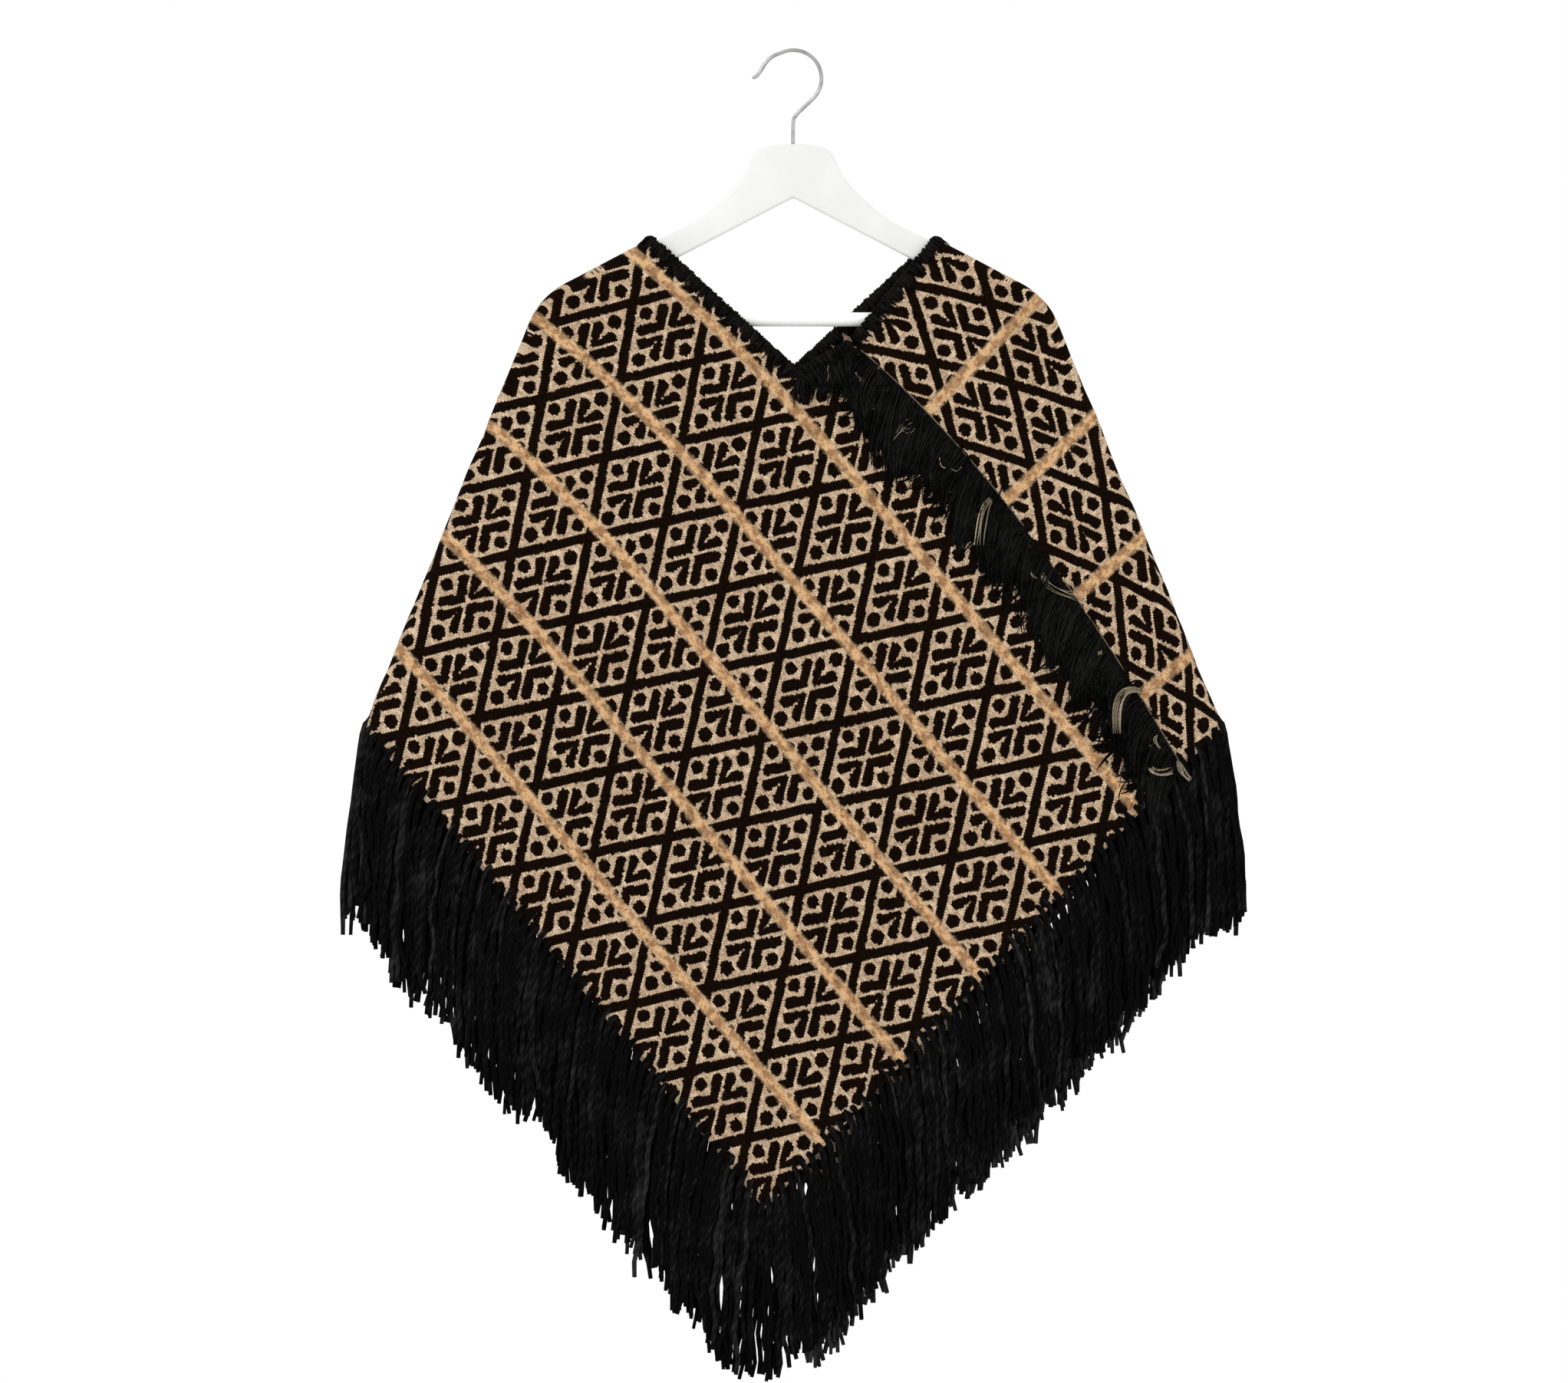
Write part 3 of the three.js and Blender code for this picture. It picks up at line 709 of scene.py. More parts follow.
def tubes(paths, radii, sides, level):
    """Closed tubes along paths of (tube, point, 3), all with an even number of sides. level is a
    direction for each tube that no path runs along. Returns points, faces and their UV: how far
    round (0 to 1) and how far along, in metres. The whole metres number the tube."""
    paths = np.asarray(paths, float)
    count, steps = paths.shape[:2]
    radii = np.broadcast_to(radii, (count, steps))
    along = unit(np.gradient(paths, axis=1))
    side = unit(np.cross(along, np.broadcast_to(np.asarray(level, float)[:, None], paths.shape)))
    lift = np.cross(side, along)
    angle = np.linspace(0, 2 * np.pi, sides, endpoint=False)
    ring = side[:, :, None] * np.cos(angle)[:, None] + lift[:, :, None] * np.sin(angle)[:, None]
    points = paths[:, :, None] + ring * radii[:, :, None, None]
    length = run_length(paths) + rng.integers(0, 60, (count, 1)) + rng.uniform(0.02, 0.3, (count, 1))

    tube, row, k = np.meshgrid(np.arange(count), np.arange(steps - 1), np.arange(sides), indexing="ij")
    here = (tube * steps + row) * sides
    there = here + sides
    following = (k + 1) % sides
    quads = np.stack([here + k, here + following, there + following, there + k], axis=-1)
    near, far = length[tube, row], length[tube, row + 1]
    round_uv = np.stack([k, k + 1, k + 1, k], axis=-1) / sides
    uv = np.stack([round_uv, np.stack([near, near, far, far], axis=-1)], axis=-1)

    fan = np.array([[0, 2 * n + 3, 2 * n + 2, 2 * n + 1] for n in range((sides - 2) // 2)])
    first = (np.arange(count) * steps * sides)[:, None, None]
    starts, ends = first + fan, first + (steps - 1) * sides + fan[:, ::-1]
    caps = np.concatenate([starts.reshape(-1, 4), ends.reshape(-1, 4)])
    faces = np.concatenate([quads.reshape(-1, 4), caps])
    uv = np.concatenate([uv.reshape(-1, 4, 2), np.zeros((len(caps), 4, 2))])
    return points.reshape(-1, 3), faces, uv


def joined(parts):
    """Several (points, quads, uv) made into one."""
    starts = np.cumsum([0] + [len(points) for points, _, _ in parts[:-1]])
    quads = [faces + start for (_, faces, _), start in zip(parts, starts)]
    points, _, uv = zip(*parts)
    return np.concatenate(points), np.concatenate(quads), np.concatenate(uv)


def along_line(points, count, start=0.0, end=1.0):
    """Evenly spaced places on a line of points: the share of the way from one point to the next."""
    lengths = run_length(points)
    goal = lengths[-1] * mix(start, end, (np.arange(count) + 0.5) / count)
    return np.interp(goal, lengths, np.arange(len(points)))


def on_line(where, points):
    """The places, kept between the line's first point and its last."""
    return np.clip(where, 0, len(points) - 1.001)


def at_line(values, where):
    low = np.clip(np.floor(where).astype(int), 0, len(values) - 2)
    return mix(values[low], values[low + 1], (where - low)[:, None])


def edge_frame(points, normals, inward):
    """Along one of the cloth's edges and away from the cloth, at each point of the edge."""
    along = unit(np.gradient(points, axis=0))
    away = unit(np.cross(normals, along))
    if np.sum(away * (points - inward)) < 0:
        away = -away
    return along, away


def yarn_effect():
    """Plies twisted round each other, with loose fibres, and a painted highlight along one side of the
    yarn: their two shades, and how far along the yarn one twist runs, in metres."""
    tree, given = effect("yarn", ("Dark", "Light"), ("Pitch",))
    turn, along = uv_fields(tree)
    own = random_field(tree, vector_of(along.math("FLOOR"), 0.0)).math("POWER", 2.0)
    twist = ((turn * PLIES + along / Field(tree, given["Pitch"])) * (2 * math.pi)).math("SINE")
    # Painted highlight: the yarn is made lighter round its crown, on one side.
    painted_crown_highlight = (turn * (2 * math.pi)).math("COSINE")
    fibre = noise_field(tree, vector_of(turn * 30.0 + along * 900.0, along * 160.0), detail=3.0)
    patch = noise_field(tree, tree.nodes.new("ShaderNodeTexCoord").outputs["Object"], 45.0)
    share = own * LIGHTNESS["own"] + LIGHTNESS["least"]
    share = share + painted_crown_highlight * LIGHTNESS["painted_crown_highlight"] + twist * LIGHTNESS["twist"]
    share = share + (fibre - 0.5) * LIGHTNESS["fibre"] + (patch - 0.5) * LIGHTNESS["patch"]
    colour = colour_mix(share.above(-0.1, 1.0), given["Dark"], given["Light"])
    return put_out(tree, colour, Height=twist * 0.5 + fibre * 0.7)


YARN_EFFECT = yarn_effect()


def yarn_material(name, shades, roughness, shine, bump):
    settings = {"Roughness": roughness, "Specular IOR Level": shine}
    return material_from(name, YARN_EFFECT, shades, settings, bump)


def overcast_ring(share, inward, behind, puff):
    """One ring of each stitch: how far off the edge and how far up it lies. The stitch comes out
    of the cloth in front, runs over the edge, and goes into the cloth behind."""
    flat, over = abs(share - 0.5) - 0.25, (share - 0.25) * 2
    if flat > 0:
        depth, side = (inward, 1) if share < 0.5 else (behind, -1)
        off = EDGE_OFF - (depth + EDGE_OFF) * flat * 4
        return off, (WALL / 2 + EDGE_LIFT + EDGE_RISE * (1 - (flat * 4) ** 2)) * side
    off = EDGE_OFF + (EDGE_ARCH + puff) * math.sin(math.pi * over)
    return off, (WALL / 2 + EDGE_LIFT + EDGE_RISE) * math.cos(math.pi * over)


def neck_edging():
    line, out = SURFACE[0], NORMALS[0]
    along, away = edge_frame(line, out, SURFACE[3])
    core = line + away * ROLL["radius"] + out * ROLL["above"]
    core = core[ROLL["ends"] : -ROLL["ends"] : ROLL["step"]]
    parts = [tubes([core], ROLL["radius"], ROLL["sides"], [(0, 0.2, 1)])]
    for count, radius, reach, slant, sides in OVERCAST:
        where = along_line(line, count, 0.006, 0.994) + rng.uniform(-0.3, 0.3, count)
        base, o, a, f = (at_line(v, on_line(where, line)) for v in (line, out, away, along))
        inward = rng.uniform(*reach, count) * MM
        behind = rng.uniform(*reach, count) * MM
        lean = rng.normal(0.8, slant, count) * MM
        puff = rng.uniform(-0.4, 1.0, count) * MM
        rings = []
        for share in np.linspace(0, 1, len(OVERCAST_TAPER)):
            off, up = overcast_ring(share, inward, behind, puff)
            place = base + a * off[:, None] + o * up
            rings.append(place + f * (lean * (share - 0.5) * 2)[:, None])
        thick = (rng.uniform(*radius, count) * MM)[:, None] * OVERCAST_TAPER
        parts.append(tubes(np.stack(rings, axis=1), thick, sides, f))
    return joined(parts)


edging_wool = yarn_material("edging wool", EDGING_SHADES, 0.85, 0.03, (0.6, 0.0008))
edgings = both_sides(
    "overcast_neck_", ("left", "right"), neck_edging(), edging_wool, "neck_edging_"
)

# ---- Hem fringe ----
# Black wool yarns are hooked through holes a few millimetres above the hem, a few in each, so one
# end of a yarn hangs in front of the hem and one behind it. They fan out and wave on the way down.

FRINGE_SHADES = {"Dark": (0.0022, 0.0022, 0.0023), "Light": (0.0400, 0.0394, 0.0394), "Pitch": 0.011}
END_FALL = (142, 157)  # how far a yarn falls at the end of the band
SIDE_FALL = (151, 166)  # the same round the wearer's side
BACK_SHORT = (90, 150, 36)  # shorter there: how far from the corner, over what width, by how much
HOLE_PITCH = 9.0 * MM  # from one hole to the next
HOLE_HEIGHT = (5.0, 11.5)  # above the edge
YARNS_A_HOLE, YARN_APART = 3, 1.1 * MM
CORNER_WIDTH = 34  # beside the corner they fall straight
BUNCHES = {  # how often a new bunch starts, and what its yarns share, in millimetres
    "start": 0.22, "gather": (-0.12, 0.14), "drop": (0, 6.5), "drop_ends": (-16, 12), "sway": (0, 1.9),
}
YARN_OWN = {  # from and to, or middle and spread, in millimetres
    "radius": (1.75, 2.5),
    "worn": (6, 26),  # what a worn yarn has lost
    "sway": (0, 3.0),
    "wave": (0.5, 2.0),
    "deep_wave": (0.3, 1.8),
    "swing": (1.6, 2.4),
    "sweep": (17, 3.0),  # how far it is carried out from the edge
    "tip": (0, 2.0),
}
WORN_SHARE = 0.16
WAVE_TURNS = (4.5, 10.5)
AT_FOLD = {"swing": 7, "drop": 15}  # at the fold of the side the tips stand out, and fall further
EDGE_SHARE = 0.07  # the share of a yarn between its hole and the edge
YARN_TAPER = ((0, 0.06, 0.2, 0.92, 1), (0.6, 0.72, 1, 1, 0.9))  # share of the yarn, of its radius
YARN_RINGS, YARN_SIDES = 16, 6


def hooked_yarns(edge, corner, fall_length, short=(0, 1, 0)):
    """The yarns along these columns of the hem. corner is the number of its lowest one."""
    line, out = SURFACE[ROWS, edge], NORMALS[ROWS, edge]
    along, away = edge_frame(line, out, SURFACE[ROWS - 3, edge])
    distance = np.linalg.norm(line - line[corner], axis=1) / MM
    beside = np.exp(-((distance / CORNER_WIDTH) ** 2))[:, None]
    shorter = short[2] * np.exp(-(((distance - short[0]) / short[1]) ** 2))
    away = unit(mix(away, np.array([0, 0, -1.0]), beside * 0.8))
    holes = int(run_length(line)[-1] / HOLE_PITCH)
    count = holes * YARNS_A_HOLE
    in_hole = np.repeat(np.arange(holes), YARNS_A_HOLE)
    own = on_line(along_line(line, count) + rng.uniform(-0.15, 0.15, count), line)
    hole = on_line(along_line(line, holes) + rng.uniform(-0.25, 0.25, holes), line)[in_hole]
    base, o, a, f = (at_line(v, own) for v in (line, out, away, along))
    start = at_line(line, hole) + f * ((np.arange(count) % YARNS_A_HOLE - 1) * YARN_APART)[:, None]
    flat = unit(o * (1, 1, 0.15))
    level = unit(f * (1, 1, 0))

    bunch = np.cumsum(rng.random(count) < BUNCHES["start"])
    bunches = bunch.max() + 1
    middle = np.array([base[bunch == n].mean(axis=0) for n in bunch])
    aside = np.sum((middle - base) * level, axis=1)
    gather = rng.uniform(*BUNCHES["gather"], bunches)[bunch]
    bunch_drop = np.clip(rng.normal(*BUNCHES["drop"], bunches), *BUNCHES["drop_ends"])[bunch]
    bunch_sway = rng.normal(*BUNCHES["sway"], bunches)[bunch]
    height = rng.uniform(*HOLE_HEIGHT, holes)[in_hole] * MM
    legs = []
    for sign in (1, -1):
        shorter_here = np.interp(own, np.arange(len(line)), shorter)
        drop = (rng.uniform(*fall_length, count) + bunch_drop - shorter_here) * MM
        drop -= np.where(rng.random(count) < WORN_SHARE, rng.uniform(*YARN_OWN["worn"], count), 0) * MM
        drop += AT_FOLD["drop"] * flat[:, 0] ** 2 * MM
        radius = rng.uniform(*YARN_OWN["radius"], count) * MM
        sway = (bunch_sway + rng.normal(*YARN_OWN["sway"], count)) * MM
        waves = []
        for turns in WAVE_TURNS:
            width = rng.uniform(*YARN_OWN["wave"], count) * MM
            waves.append((width, rng.uniform(0, 2 * math.pi, count), turns))
        deep_wave = rng.uniform(*YARN_OWN["deep_wave"], count) * MM
        swing = (rng.normal(*YARN_OWN["swing"], count) + AT_FOLD["swing"] * flat[:, 0] ** 2) * MM
        sweep = rng.normal(*YARN_OWN["sweep"], count) * MM
        tip = rng.normal(*YARN_OWN["tip"], count) * MM
        points = []
        for share in np.linspace(0, 1, YARN_RINGS) ** 1.15:
            # From the hole to the edge along the cloth, then down, carried out from the edge.
            over, fall = min(share / EDGE_SHARE, 1), max(share - EDGE_SHARE, 0) / (1 - EDGE_SHARE)
            place = mix(start, base, ease(fall * 3.2)) + a * (height * (over - 1))[:, None]
            place += (a * (1, 1, 0)) * (sweep * (1 - (1 - fall) ** 3))[:, None]
            place[:, 2] -= (drop - sweep * 0.5) * fall
            side = aside * gather * ease(fall * 1.4) + sway * fall**1.5
            for width, phase, turns in waves:
                side = side + width * np.sin(phase + turns * fall * 2) * ease(fall * 3)
            place += level * (side + tip * ease((fall - 0.82) / 0.18))[:, None]
            bowed = swing + deep_wave * np.sin(waves[0][1] * 2 + 9 * fall)
            up = ease(share / 0.05) * (WALL / 2 + radius * 0.55) + bowed * ease(fall)
            points.append(place + flat * (sign * up)[:, None])
        taper = np.interp(np.linspace(0, 1, YARN_RINGS), *YARN_TAPER)
        legs.append(tubes(np.stack(points, axis=1), radius[:, None] * taper, YARN_SIDES, level))
    return joined(legs)


fringe_wool = yarn_material("fringe wool", FRINGE_SHADES, 0.85, 0.03, (0.6, 0.0012))
end_yarns = hooked_yarns(slice(CORNER + 1), CORNER, END_FALL)
front_yarns = hooked_yarns(slice(CORNER, None), 0, SIDE_FALL)
back_yarns = hooked_yarns(slice(CORNER, None), 0, SIDE_FALL, BACK_SHORT)
end_fringes = both_sides(
    "fringe_", ("front_end", "back_end"), end_yarns, fringe_wool, "hem_fringe_"
)
side_fringes = both_sides(
    "fringe_",
    ("left_side", "right_side"),
    front_yarns,
    fringe_wool,
    "hem_fringe_",
    fellow=back_yarns,
)

# ---- Seam fringe ----
# The end that is sewn on has a fringe too. It lies over the other band below the seam, and with
# wear its black wool has matted into locks over a layer of felt.

MATTED_SHADES = {"Dark": (0.0008, 0.0008, 0.0008), "Light": (0.0165, 0.0158, 0.0150), "Pitch": 0.011}
LOCKS, LOCK_STRANDS = 34, 1450
LOCK = {  # what its strands share: from and to, or middle and spread, in millimetres
    "length": (0.85, 1.15), "lean": (-2, 6.5), "out": (13, 23), "bow": (0, 3.6),
}
LOCK_DROP, LEAST_DROP = 46, 8
LOBES = {"height": 0.17, "number": 4.4, "phase": 0.35}  # slow waves of its length down the seam
STRAND = {"drop": (0, 4.5), "drift": (0, 2.2), "lift": (0.2, 3.4), "radius": (0.55, 1.05)}
SHORT_STRANDS, SHORT_LENGTH = 0.3, (0.35, 0.9)
LOCK_TAPER = ((0, 0.15, 0.75, 1), (0.8, 1, 0.9, 0.35))
LOCK_RINGS, FELT_RINGS, STRAND_SIDES = 11, 7, 4
FELT_STRANDS = 900
FELT = {  # from and to, in millimetres
    "off": (1, 33), "length": (16, 30), "low": (0.4, 1.6), "high": (4.0, 5.4), "radius": (0.6, 1.05),
}
HIGH_SHARE = 0.22
FELT_TAPER = ((0, 0.2, 0.8, 1), (0.5, 1, 0.9, 0.35))


def over_the_cloth(place, height):
    """The same places, so high above the front of the cloth."""
    y = -face_depth(place[:, 0], place[:, 2]) - WALL / 2 - height
    return np.stack([place[:, 0], y, place[:, 2]], axis=1)


def seam_roots(share_down):
    """These shares of the way down the seam, from the last of the V: the places, the way from the
    seam over the cloth, and the way down it."""
    line = np.concatenate([SURFACE[0, 4 : CELLS["seam"] : 5][::-1], SURFACE[1:, 0]])
    along = unit(np.gradient(line, axis=0))
    along = unit(along + np.roll(along, 1, axis=0) + np.roll(along, -1, axis=0))
    away = np.stack([along[:, 2], 0 * along[:, 0], -along[:, 0]], axis=1)
    away = unit(np.where((away[:, 2] > 0)[:, None], -away, away))
    lengths = run_length(line)
    where = on_line(np.interp(share_down * lengths[-1], lengths, np.arange(len(line))), line)
    return [at_line(v, where) for v in (line, away, along)]


def seam_locks():
    count = LOCK_STRANDS
    share_down = np.sort(rng.uniform(0, 1, count))
    base, a, f = seam_roots(share_down)
    lock_edges = np.sort(rng.uniform(0, 1, LOCKS - 1))
    lock = np.searchsorted(lock_edges, share_down + rng.normal(0, 0.009, count))
    middle = np.array([base[lock == n].mean(axis=0) for n in lock])
    aside = np.sum((middle - base) * f, axis=1)
    lobes = 1 + LOBES["height"] * np.sin(2 * math.pi * (LOBES["number"] * share_down + LOBES["phase"]))
    lock_length = rng.uniform(*LOCK["length"], LOCKS)[lock] * lobes
    lock_lean = rng.normal(*LOCK["lean"], LOCKS)[lock] * MM
    lock_out = rng.uniform(*LOCK["out"], LOCKS)[lock] * MM * mix(0.4, 1, ease(share_down / 0.13))
    lock_bow = rng.normal(*LOCK["bow"], LOCKS)[lock] * MM
    down_seam = mix(0.25, 1, ease(share_down / 0.2)) * mix(1, 1.1, ease((share_down - 0.8) / 0.2))
    drop = (LOCK_DROP * lock_length * down_seam + rng.normal(*STRAND["drop"], count)) * MM
    drop *= np.where(rng.random(count) < SHORT_STRANDS, rng.uniform(*SHORT_LENGTH, count), 1)
    drop = np.maximum(drop, LEAST_DROP * MM)
    phase = rng.uniform(0, 2 * math.pi, count)
    drift = rng.normal(*STRAND["drift"], count) * MM
    lift = rng.uniform(*STRAND["lift"], count) * MM
    points = []
    for share in np.linspace(0, 1, LOCK_RINGS):
        # First straight out from the seam, then bending down, each lock to its own side.
        out = lock_out * (1 - (1 - share) ** 2)
        place = base + a * out[:, None] + np.array([0, 0, -1.0]) * (drop * share**1.2)[:, None]
        curl = np.sin(phase + share * 7) * 1.3 * MM * share + drift * ease(share)
        curl = curl + lock_bow * math.sin(math.pi * share) + lock_lean * share**2 + aside * 0.4 * share**2
        place += f * (1, 0, 1) * curl[:, None]
        over = 2.4 * MM * math.sin(math.pi * min(share * 1.6, 1)) + 0.9 * MM
        points.append(over_the_cloth(place, over + lift * min(share * 5, 1)))
    radius = rng.uniform(*STRAND["radius"], count) * MM
    taper = np.interp(np.linspace(0, 1, LOCK_RINGS), *LOCK_TAPER)
    level = np.broadcast_to((1.0, 0.0, 0.3), (count, 3))
    return tubes(np.stack(points, axis=1), radius[:, None] * taper, STRAND_SIDES, level)


def seam_felt():
    """Felted wool under the locks and a little of it on them, which runs every way."""
    count = FELT_STRANDS
    share_down = np.sort(rng.uniform(0.03, 1, count))
    base, a, f = seam_roots(share_down)
    reach = mix(0.3, 1, ease(share_down / 0.2))
    place = base + a * (rng.uniform(*FELT["off"], count) * reach * MM)[:, None]
    heading = rng.normal(0, 0.75, count) + 0.5
    turn = rng.normal(0, 1.3, count)
    length = rng.uniform(*FELT["length"], count) * reach * MM
    high = rng.random(count) < HIGH_SHARE
    height = np.where(high, rng.uniform(*FELT["high"], count), rng.uniform(*FELT["low"], count)) * MM
    steps = FELT_RINGS - 1
    points = []
    for n in range(FELT_RINGS):
        angle = heading + turn * n / steps
        points.append(over_the_cloth(place, height))
        way = a * np.cos(angle)[:, None] - f * np.sin(angle)[:, None]
        place = place + way * (length / steps)[:, None]
        place[:, 2] -= length / steps / 3
    radius = rng.uniform(*FELT["radius"], count) * MM * np.where(high, 0.55, 1)
    taper = np.interp(np.linspace(0, 1, FELT_RINGS), *FELT_TAPER)
    level = np.broadcast_to((0.0, 1.0, 0.0), (count, 3))
    return tubes(np.stack(points, axis=1), radius[:, None] * taper, STRAND_SIDES, level)


matted_wool = yarn_material("matted wool", MATTED_SHADES, 0.9, 0.02, (0.6, 0.0008))
matted = joined([seam_locks(), seam_felt()])
seam_fringes = both_sides(
    "matted_fringe_", ("front", "back"), matted, matted_wool, "seam_fringe_"
)

# ---- Pale ends in the seam fringe ----
# Ends of the band's own pale yarn hang out among the black ones, and its selvedge shows as a thin
# pale line up the seam.

PALE_SHADES = {"Dark": (0.13, 0.105, 0.07), "Light": (0.46, 0.385, 0.27), "Pitch": 0.004}
PALE_ENDS = [  # x, z of root, bend and tip, how many, how far apart, radius, in millimetres
    (168, -379, 160, -392, 156, -419, 4, 2.3, 0.62),
    (206, -438, 217, -454, 240, -463, 4, 2.1, 0.42),
    (203, -433, 200, -441, 205, -448, 2, 1.4, 0.4),
    (292, -542, 275, -546, 271.5, -577, 5, 1.55, 0.85),
    (124, -343, 124.5, -350, 129, -353, 1, 1.4, 0.5),
    (131, -354, 138, -355.5, 143, -352, 1, 1.3, 0.55),
    (86, -326, 93, -318, 101, -313, 2, 2.2, 0.36),
    (88, -314, 96, -322, 103, -318, 2, 2.0, 0.36),
    (95, -310, 90, -322, 84, -330, 1, 2.0, 0.36),
    (29, -266, 29.5, -272, 28.5, -280, 1, 1.0, 0.45),
    (53, -271, 55, -277, 60, -282, 2, 1.5, 0.4),
    (256.5, -508, 257, -509.5, 257.5, -511, 2, 1.3, 0.7),
    (305, -578, 303, -584, 308, -590, 2, 1.6, 0.6),
    (299, -604, 306, -610, 318, -607, 3, 2.0, 0.9),
    (322, -600, 326, -609, 333, -616, 3, 2.2, 0.9),
]
PALE_RINGS, PALE_SIDES = 16, 6
PALE_HEIGHT = ((0, 0.15, 0.9, 1), (3.0, 6.4, 6.6, 5.2))  # share of the end, millimetres over the cloth
PALE_TAPER = ((0, 0.1, 0.85, 1), (0.6, 1, 0.9, 0.4))
SELVEDGE_OFF = np.array([0.7, 0, 0.45]) * MM
SELVEDGE_HEIGHT, SELVEDGE_RADIUS = 0.9 * MM, (0.25, 0.75)


def pale_ends():
    parts = []
    t = np.linspace(0, 1, PALE_RINGS)
    for *places, count, apart, half in PALE_ENDS:
        root, bend, tip = np.reshape(places, (3, 2))
        spine = quadratic(t, root, 2 * bend - (root + tip) / 2, tip)
        way = unit(np.gradient(spine, axis=0))
        across = np.stack([-way[:, 1], way[:, 0]], axis=1)
        for k in range(count):
            off = (k - (count - 1) / 2) * apart * (0.6 + 0.6 * t) + rng.normal(0, 0.35)
            off = off + rng.uniform(0.3, 0.9) * np.sin(t * rng.uniform(5, 9) + rng.uniform(0, 6))
            place = (spine + across * off[:, None]) * MM
            points = np.stack([place[:, 0], np.zeros(PALE_RINGS), place[:, 1]], axis=1)
            points = over_the_cloth(points, np.interp(t, *PALE_HEIGHT) * MM)
            radius = half * rng.uniform(0.85, 1.15) * MM * np.interp(t, *PALE_TAPER)
            parts.append(tubes([points], radius, PALE_SIDES, [(0, -1, 0.1)]))
    line = over_the_cloth(SURFACE[2:, 0] + SELVEDGE_OFF, SELVEDGE_HEIGHT)
    radius = rng.uniform(*SELVEDGE_RADIUS, len(line)) * MM
    parts.append(tubes([line], radius, PALE_SIDES, [(0, -1, 0.1)]))
    return joined(parts)


pale_wool = yarn_material("pale wool", PALE_SHADES, 0.9, 0.05, (0.5, 0.0005))
pale_yarns = both_sides("pale_ends_", ("front", "back"), pale_ends(), pale_wool)

# ---- Hanger yoke ----
# A flat yoke sawn from a wooden board, with rounded edges, painted white by brush. Its arms carry
# the bands.

YOKE_THICKNESS, YOKE_ROUNDING = 12 * MM, 2.4 * MM
YOKE_FORK = [(0, -123.5), (186, -219.8), (186, -236)]  # x and z of its outline, in millimetres
YOKE_END = np.array([[201, -236], [204, -208], [184, -196.6]])
YOKE_SHOULDER = [(184, -196.6), (114, -159.4), (80, -141.6), (48, -113), (31.7, -84.6)]
YOKE_HEAD = np.array([[31.7, -84.6], [24, -79.5], [12, -78.3], [0, -78.3]])


def white_paint_effect():
    """Brushed paint, which takes its two shades."""
    tree, given = effect("white paint", ("Dull", "Bright"))
    place = tree.nodes.new("ShaderNodeTexCoord").outputs["Object"]
    brush = noise_field(tree, place, 26.0, 3.0)
    speck = noise_field(tree, place, 420.0, 2.0)
    colour = colour_mix(brush.above(0.3, 0.7), given["Dull"], given["Bright"])
    return put_out(tree, colour, Height=brush * 0.7 + speck * 0.3, Roughness=brush * 0.12 + 0.32)


WHITE_PAINT = white_paint_effect()
YOKE_SHADES = {"Dull": (0.735, 0.735, 0.73), "Bright": (0.775, 0.775, 0.77)}
painted_wood = material_from(
    "painted wood", WHITE_PAINT, YOKE_SHADES, {"Specular IOR Level": 0.45}, (0.12, 0.0004)
)


def smooth_line(points, per_span):
    """A curve through the points, with so many steps from each to the next."""
    points = np.asarray(points, float)
    padded = np.concatenate([[2 * points[0] - points[1]], points, [2 * points[-1] - points[-2]]])
    line = []
    for n in range(len(points) - 1):
        a, b, c, d = padded[n : n + 4]
        bend = 2 * a - 5 * b + 4 * c - d
        for t in np.arange(per_span) / per_span:
            line.append(0.5 * (2 * b + (c - a) * t + bend * t**2 + (3 * b - a - 3 * c + d) * t**3))
    return np.array(line + [points[-1]])


def yoke_outline():
    """The yoke's outline: one half, from the fork of its arms round to its head, and its mirror."""
    end = quadratic(np.linspace(0, 1, 12), *YOKE_END)
    shoulder = smooth_line(YOKE_SHOULDER, 8)[8:-1]
    head = cubic(np.linspace(0, 1, 10)[:, None], *YOKE_HEAD)
    half = np.concatenate([YOKE_FORK, end, shoulder, head])
    return np.concatenate([half, half[-2:0:-1] * (-1, 1)]) * MM


def hanger_yoke():
    outline = yoke_outline()
    mesh = bpy.data.meshes.new("yoke")
    mesh.from_pydata([(x, 0, z) for x, z in outline], [], [list(range(len(outline)))])
    piece = put_in_scene("hanger_yoke_painted", mesh)
    solid = piece.modifiers.new("thickness", "SOLIDIFY")
    solid.thickness = YOKE_THICKNESS
    solid.offset = 0
    rounded = piece.modifiers.new("rounded edges", "BEVEL")
    rounded.width = YOKE_ROUNDING
    rounded.segments = 4
    rounded.limit_method = "ANGLE"
    rounded.angle_limit = math.radians(50)
    dependency = bpy.context.evaluated_depsgraph_get()
    shaped = bpy.data.meshes.new_from_object(piece.evaluated_get(dependency))
    piece.modifiers.clear()
    piece.data = shaped
    shaped.polygons.foreach_set("use_smooth", [True] * len(shaped.polygons))
    shaped.materials.append(painted_wood)
    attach(piece, "root")
    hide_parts("hanger_yoke")
    return piece


yoke = hanger_yoke()

# ---- Hanger bar ----
# A round wooden rod with broken edges, glued between the deep ends of the yoke. Its white paint is a
# lighter copy of the yoke's: painted light that makes the rod show almost pure white.

BAR_HEIGHT = -226.6 * MM
BAR_RADIUS = 6.0
BAR_END = ((-185.6, 4.8), (-185.2, 5.5), (-184.2, 5.9))  # x and radius at its left end
BAR_STRAIGHT, BAR_RINGS, BAR_SIDES = 183, 41, 32
# Painted light: the yoke's paint made lighter, so that the rod shows almost pure white.
LIT_BAR_SHADES = {"Dull": (0.89, 0.89, 0.885), "Bright": (0.93, 0.93, 0.925)}
painted_rod = material_from(
    "painted rod", WHITE_PAINT, LIT_BAR_SHADES, {"Specular IOR Level": 0.5}, (0.08, 0.0003)
)


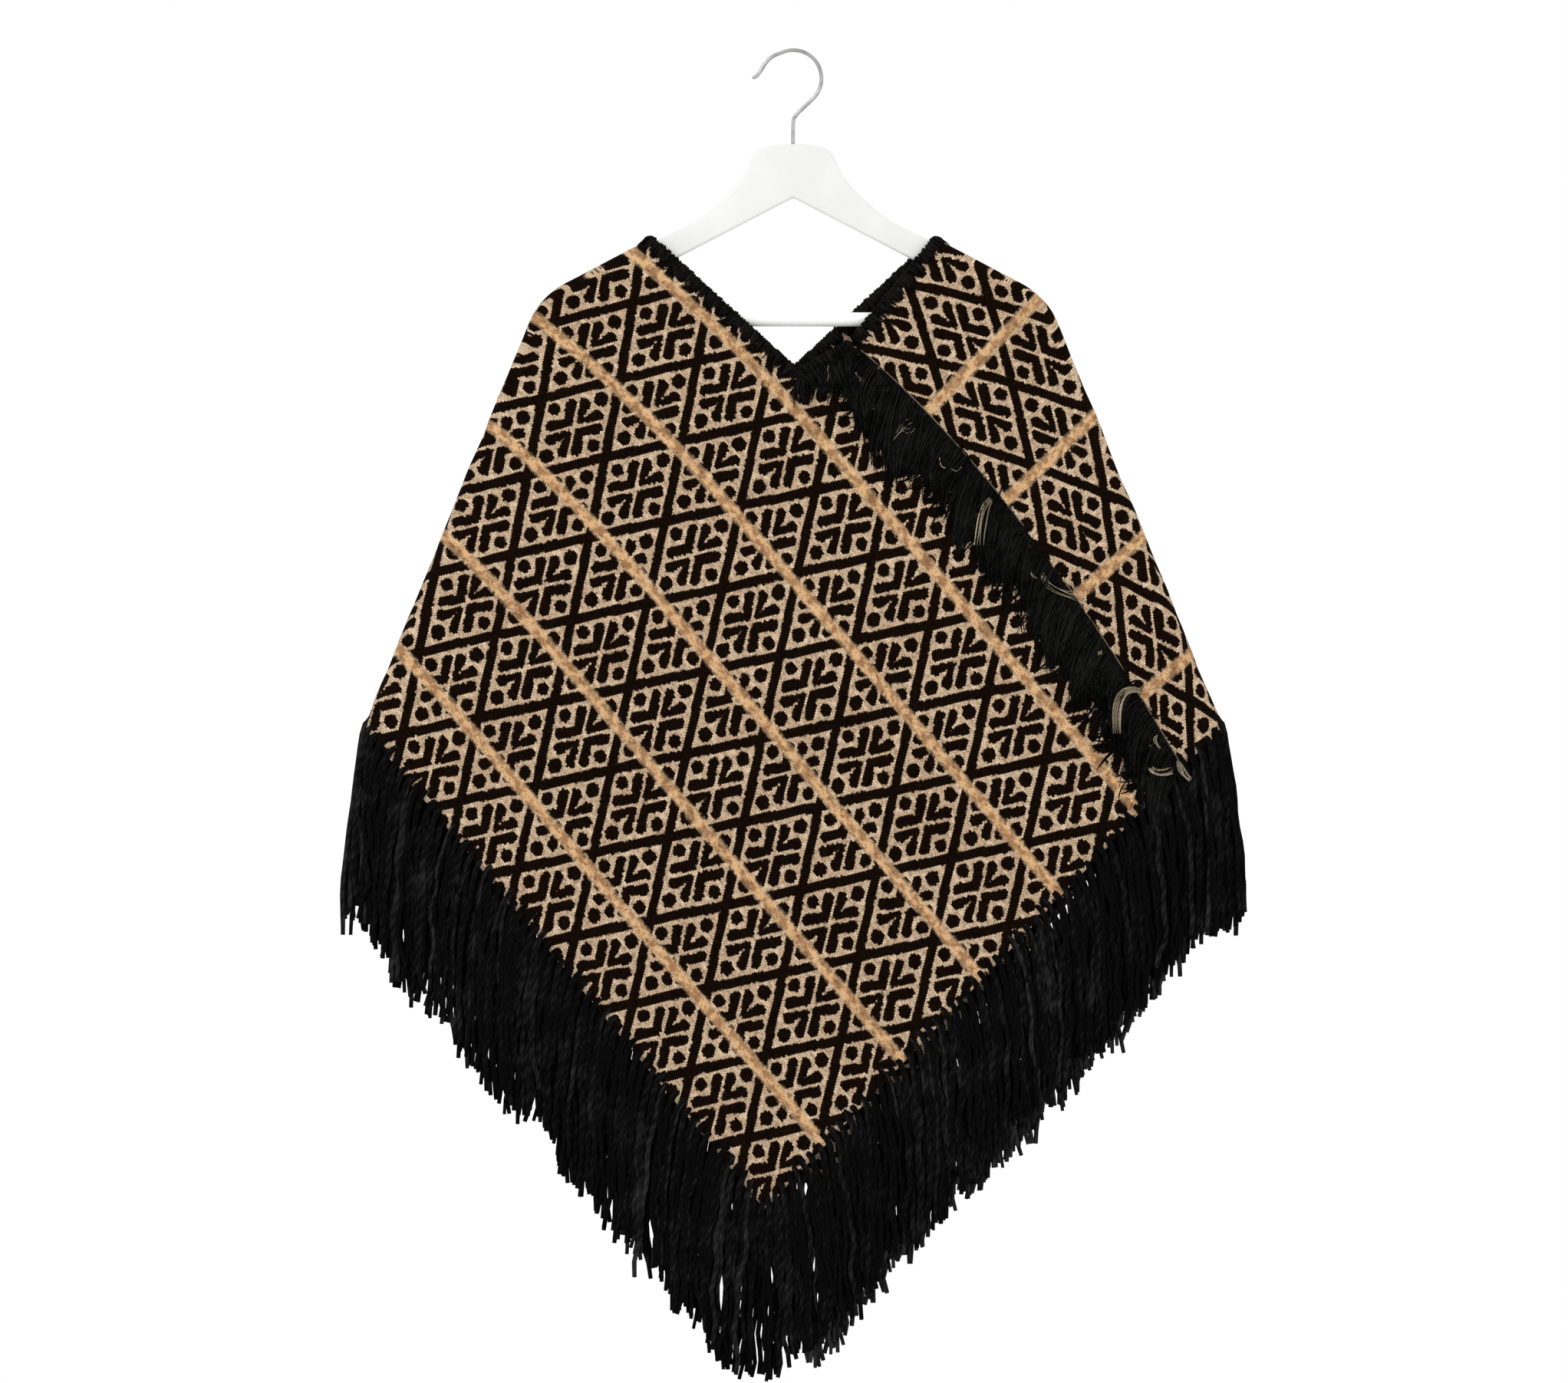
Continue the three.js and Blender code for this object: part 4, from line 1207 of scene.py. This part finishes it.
def hanger_bar():
    middle = [(x, BAR_RADIUS) for x in np.linspace(-BAR_STRAIGHT, BAR_STRAIGHT, BAR_RINGS)]
    right = [(-x, radius) for x, radius in BAR_END[::-1]]
    x, radius = np.array([*BAR_END, *middle, *right]).T * MM
    line = np.stack([x, np.zeros(len(x)), np.full(len(x), BAR_HEIGHT)], axis=1)
    points, quads, _ = tubes([line], radius, BAR_SIDES, [(0, 0, 1)])
    bar = quad_object("hanger_bar_painted", points, quads, painted_rod)
    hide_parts("hanger_bar")


hanger_bar()

# ---- Hanger hook ----
# One length of bright plated steel wire, bent to a hook and turned into the top of the yoke. The
# garment hangs from the inside of its bend.

WIRE_RADIUS, WIRE_SIDES = 1.6 * MM, 16
WIRE_TIP = np.array([0.7, 1.25, 1.5]) * MM  # radius of its first rings
HOOK_TIP = [(-34.6, -22.2), (-30.9, -20.3), (-27.3, -15.6), (-23.2, -9.3), (-18.0, -4.2)]
HOOK_BEND = {"radius": 24, "middle": -22.4, "angles": (116, -42), "points": 9}
HOOK_SHANK = [(9, -47), (2.4, -54), (0, -62), (0, -102.3)]


def plated_wire_effect():
    tree, _ = effect("plated wire")
    wear = noise_field(tree, tree.nodes.new("ShaderNodeTexCoord").outputs["Object"], 160.0, 3.0)
    colour = colour_mix(wear.above(0.35, 0.7), (0.44, 0.44, 0.435), (0.31, 0.31, 0.305))
    return put_out(tree, colour, Height=wear, Roughness=wear * 0.2 + 0.28)


def wire_hook():
    angles = np.radians(np.linspace(*HOOK_BEND["angles"], HOOK_BEND["points"]))
    radius, middle = HOOK_BEND["radius"], HOOK_BEND["middle"]
    bend = np.stack([radius * np.cos(angles), middle + radius * np.sin(angles)], axis=1)
    line = smooth_line(np.concatenate([HOOK_TIP, bend, HOOK_SHANK]) * MM, 6)
    wire = np.stack([line[:, 0], np.zeros(len(line)), line[:, 1]], axis=1)
    thick = np.full(len(wire), WIRE_RADIUS)
    thick[: len(WIRE_TIP)] = WIRE_TIP
    points, quads, _ = tubes([wire], thick, WIRE_SIDES, [(0, 1, 0)])
    plated = material_from("hook wire", plated_wire_effect(), {}, {"Metallic": 1.0}, (0.05, 0.0003))
    hook = quad_object("wire_hook", points, quads, plated)
    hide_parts("hanger_hook")


wire_hook()

# ---- What goes with each band ----
# Each band is one sheet of cloth that hangs over the yoke. Its edging, its fringes, and the pale ends
# and matted fringe of the end that is sewn to the other band are listed with it.

for n, band in enumerate(bands):
    sewn_on = [edgings[n], end_fringes[n], side_fringes[n], seam_fringes[1 - n], pale_yarns[1 - n]]
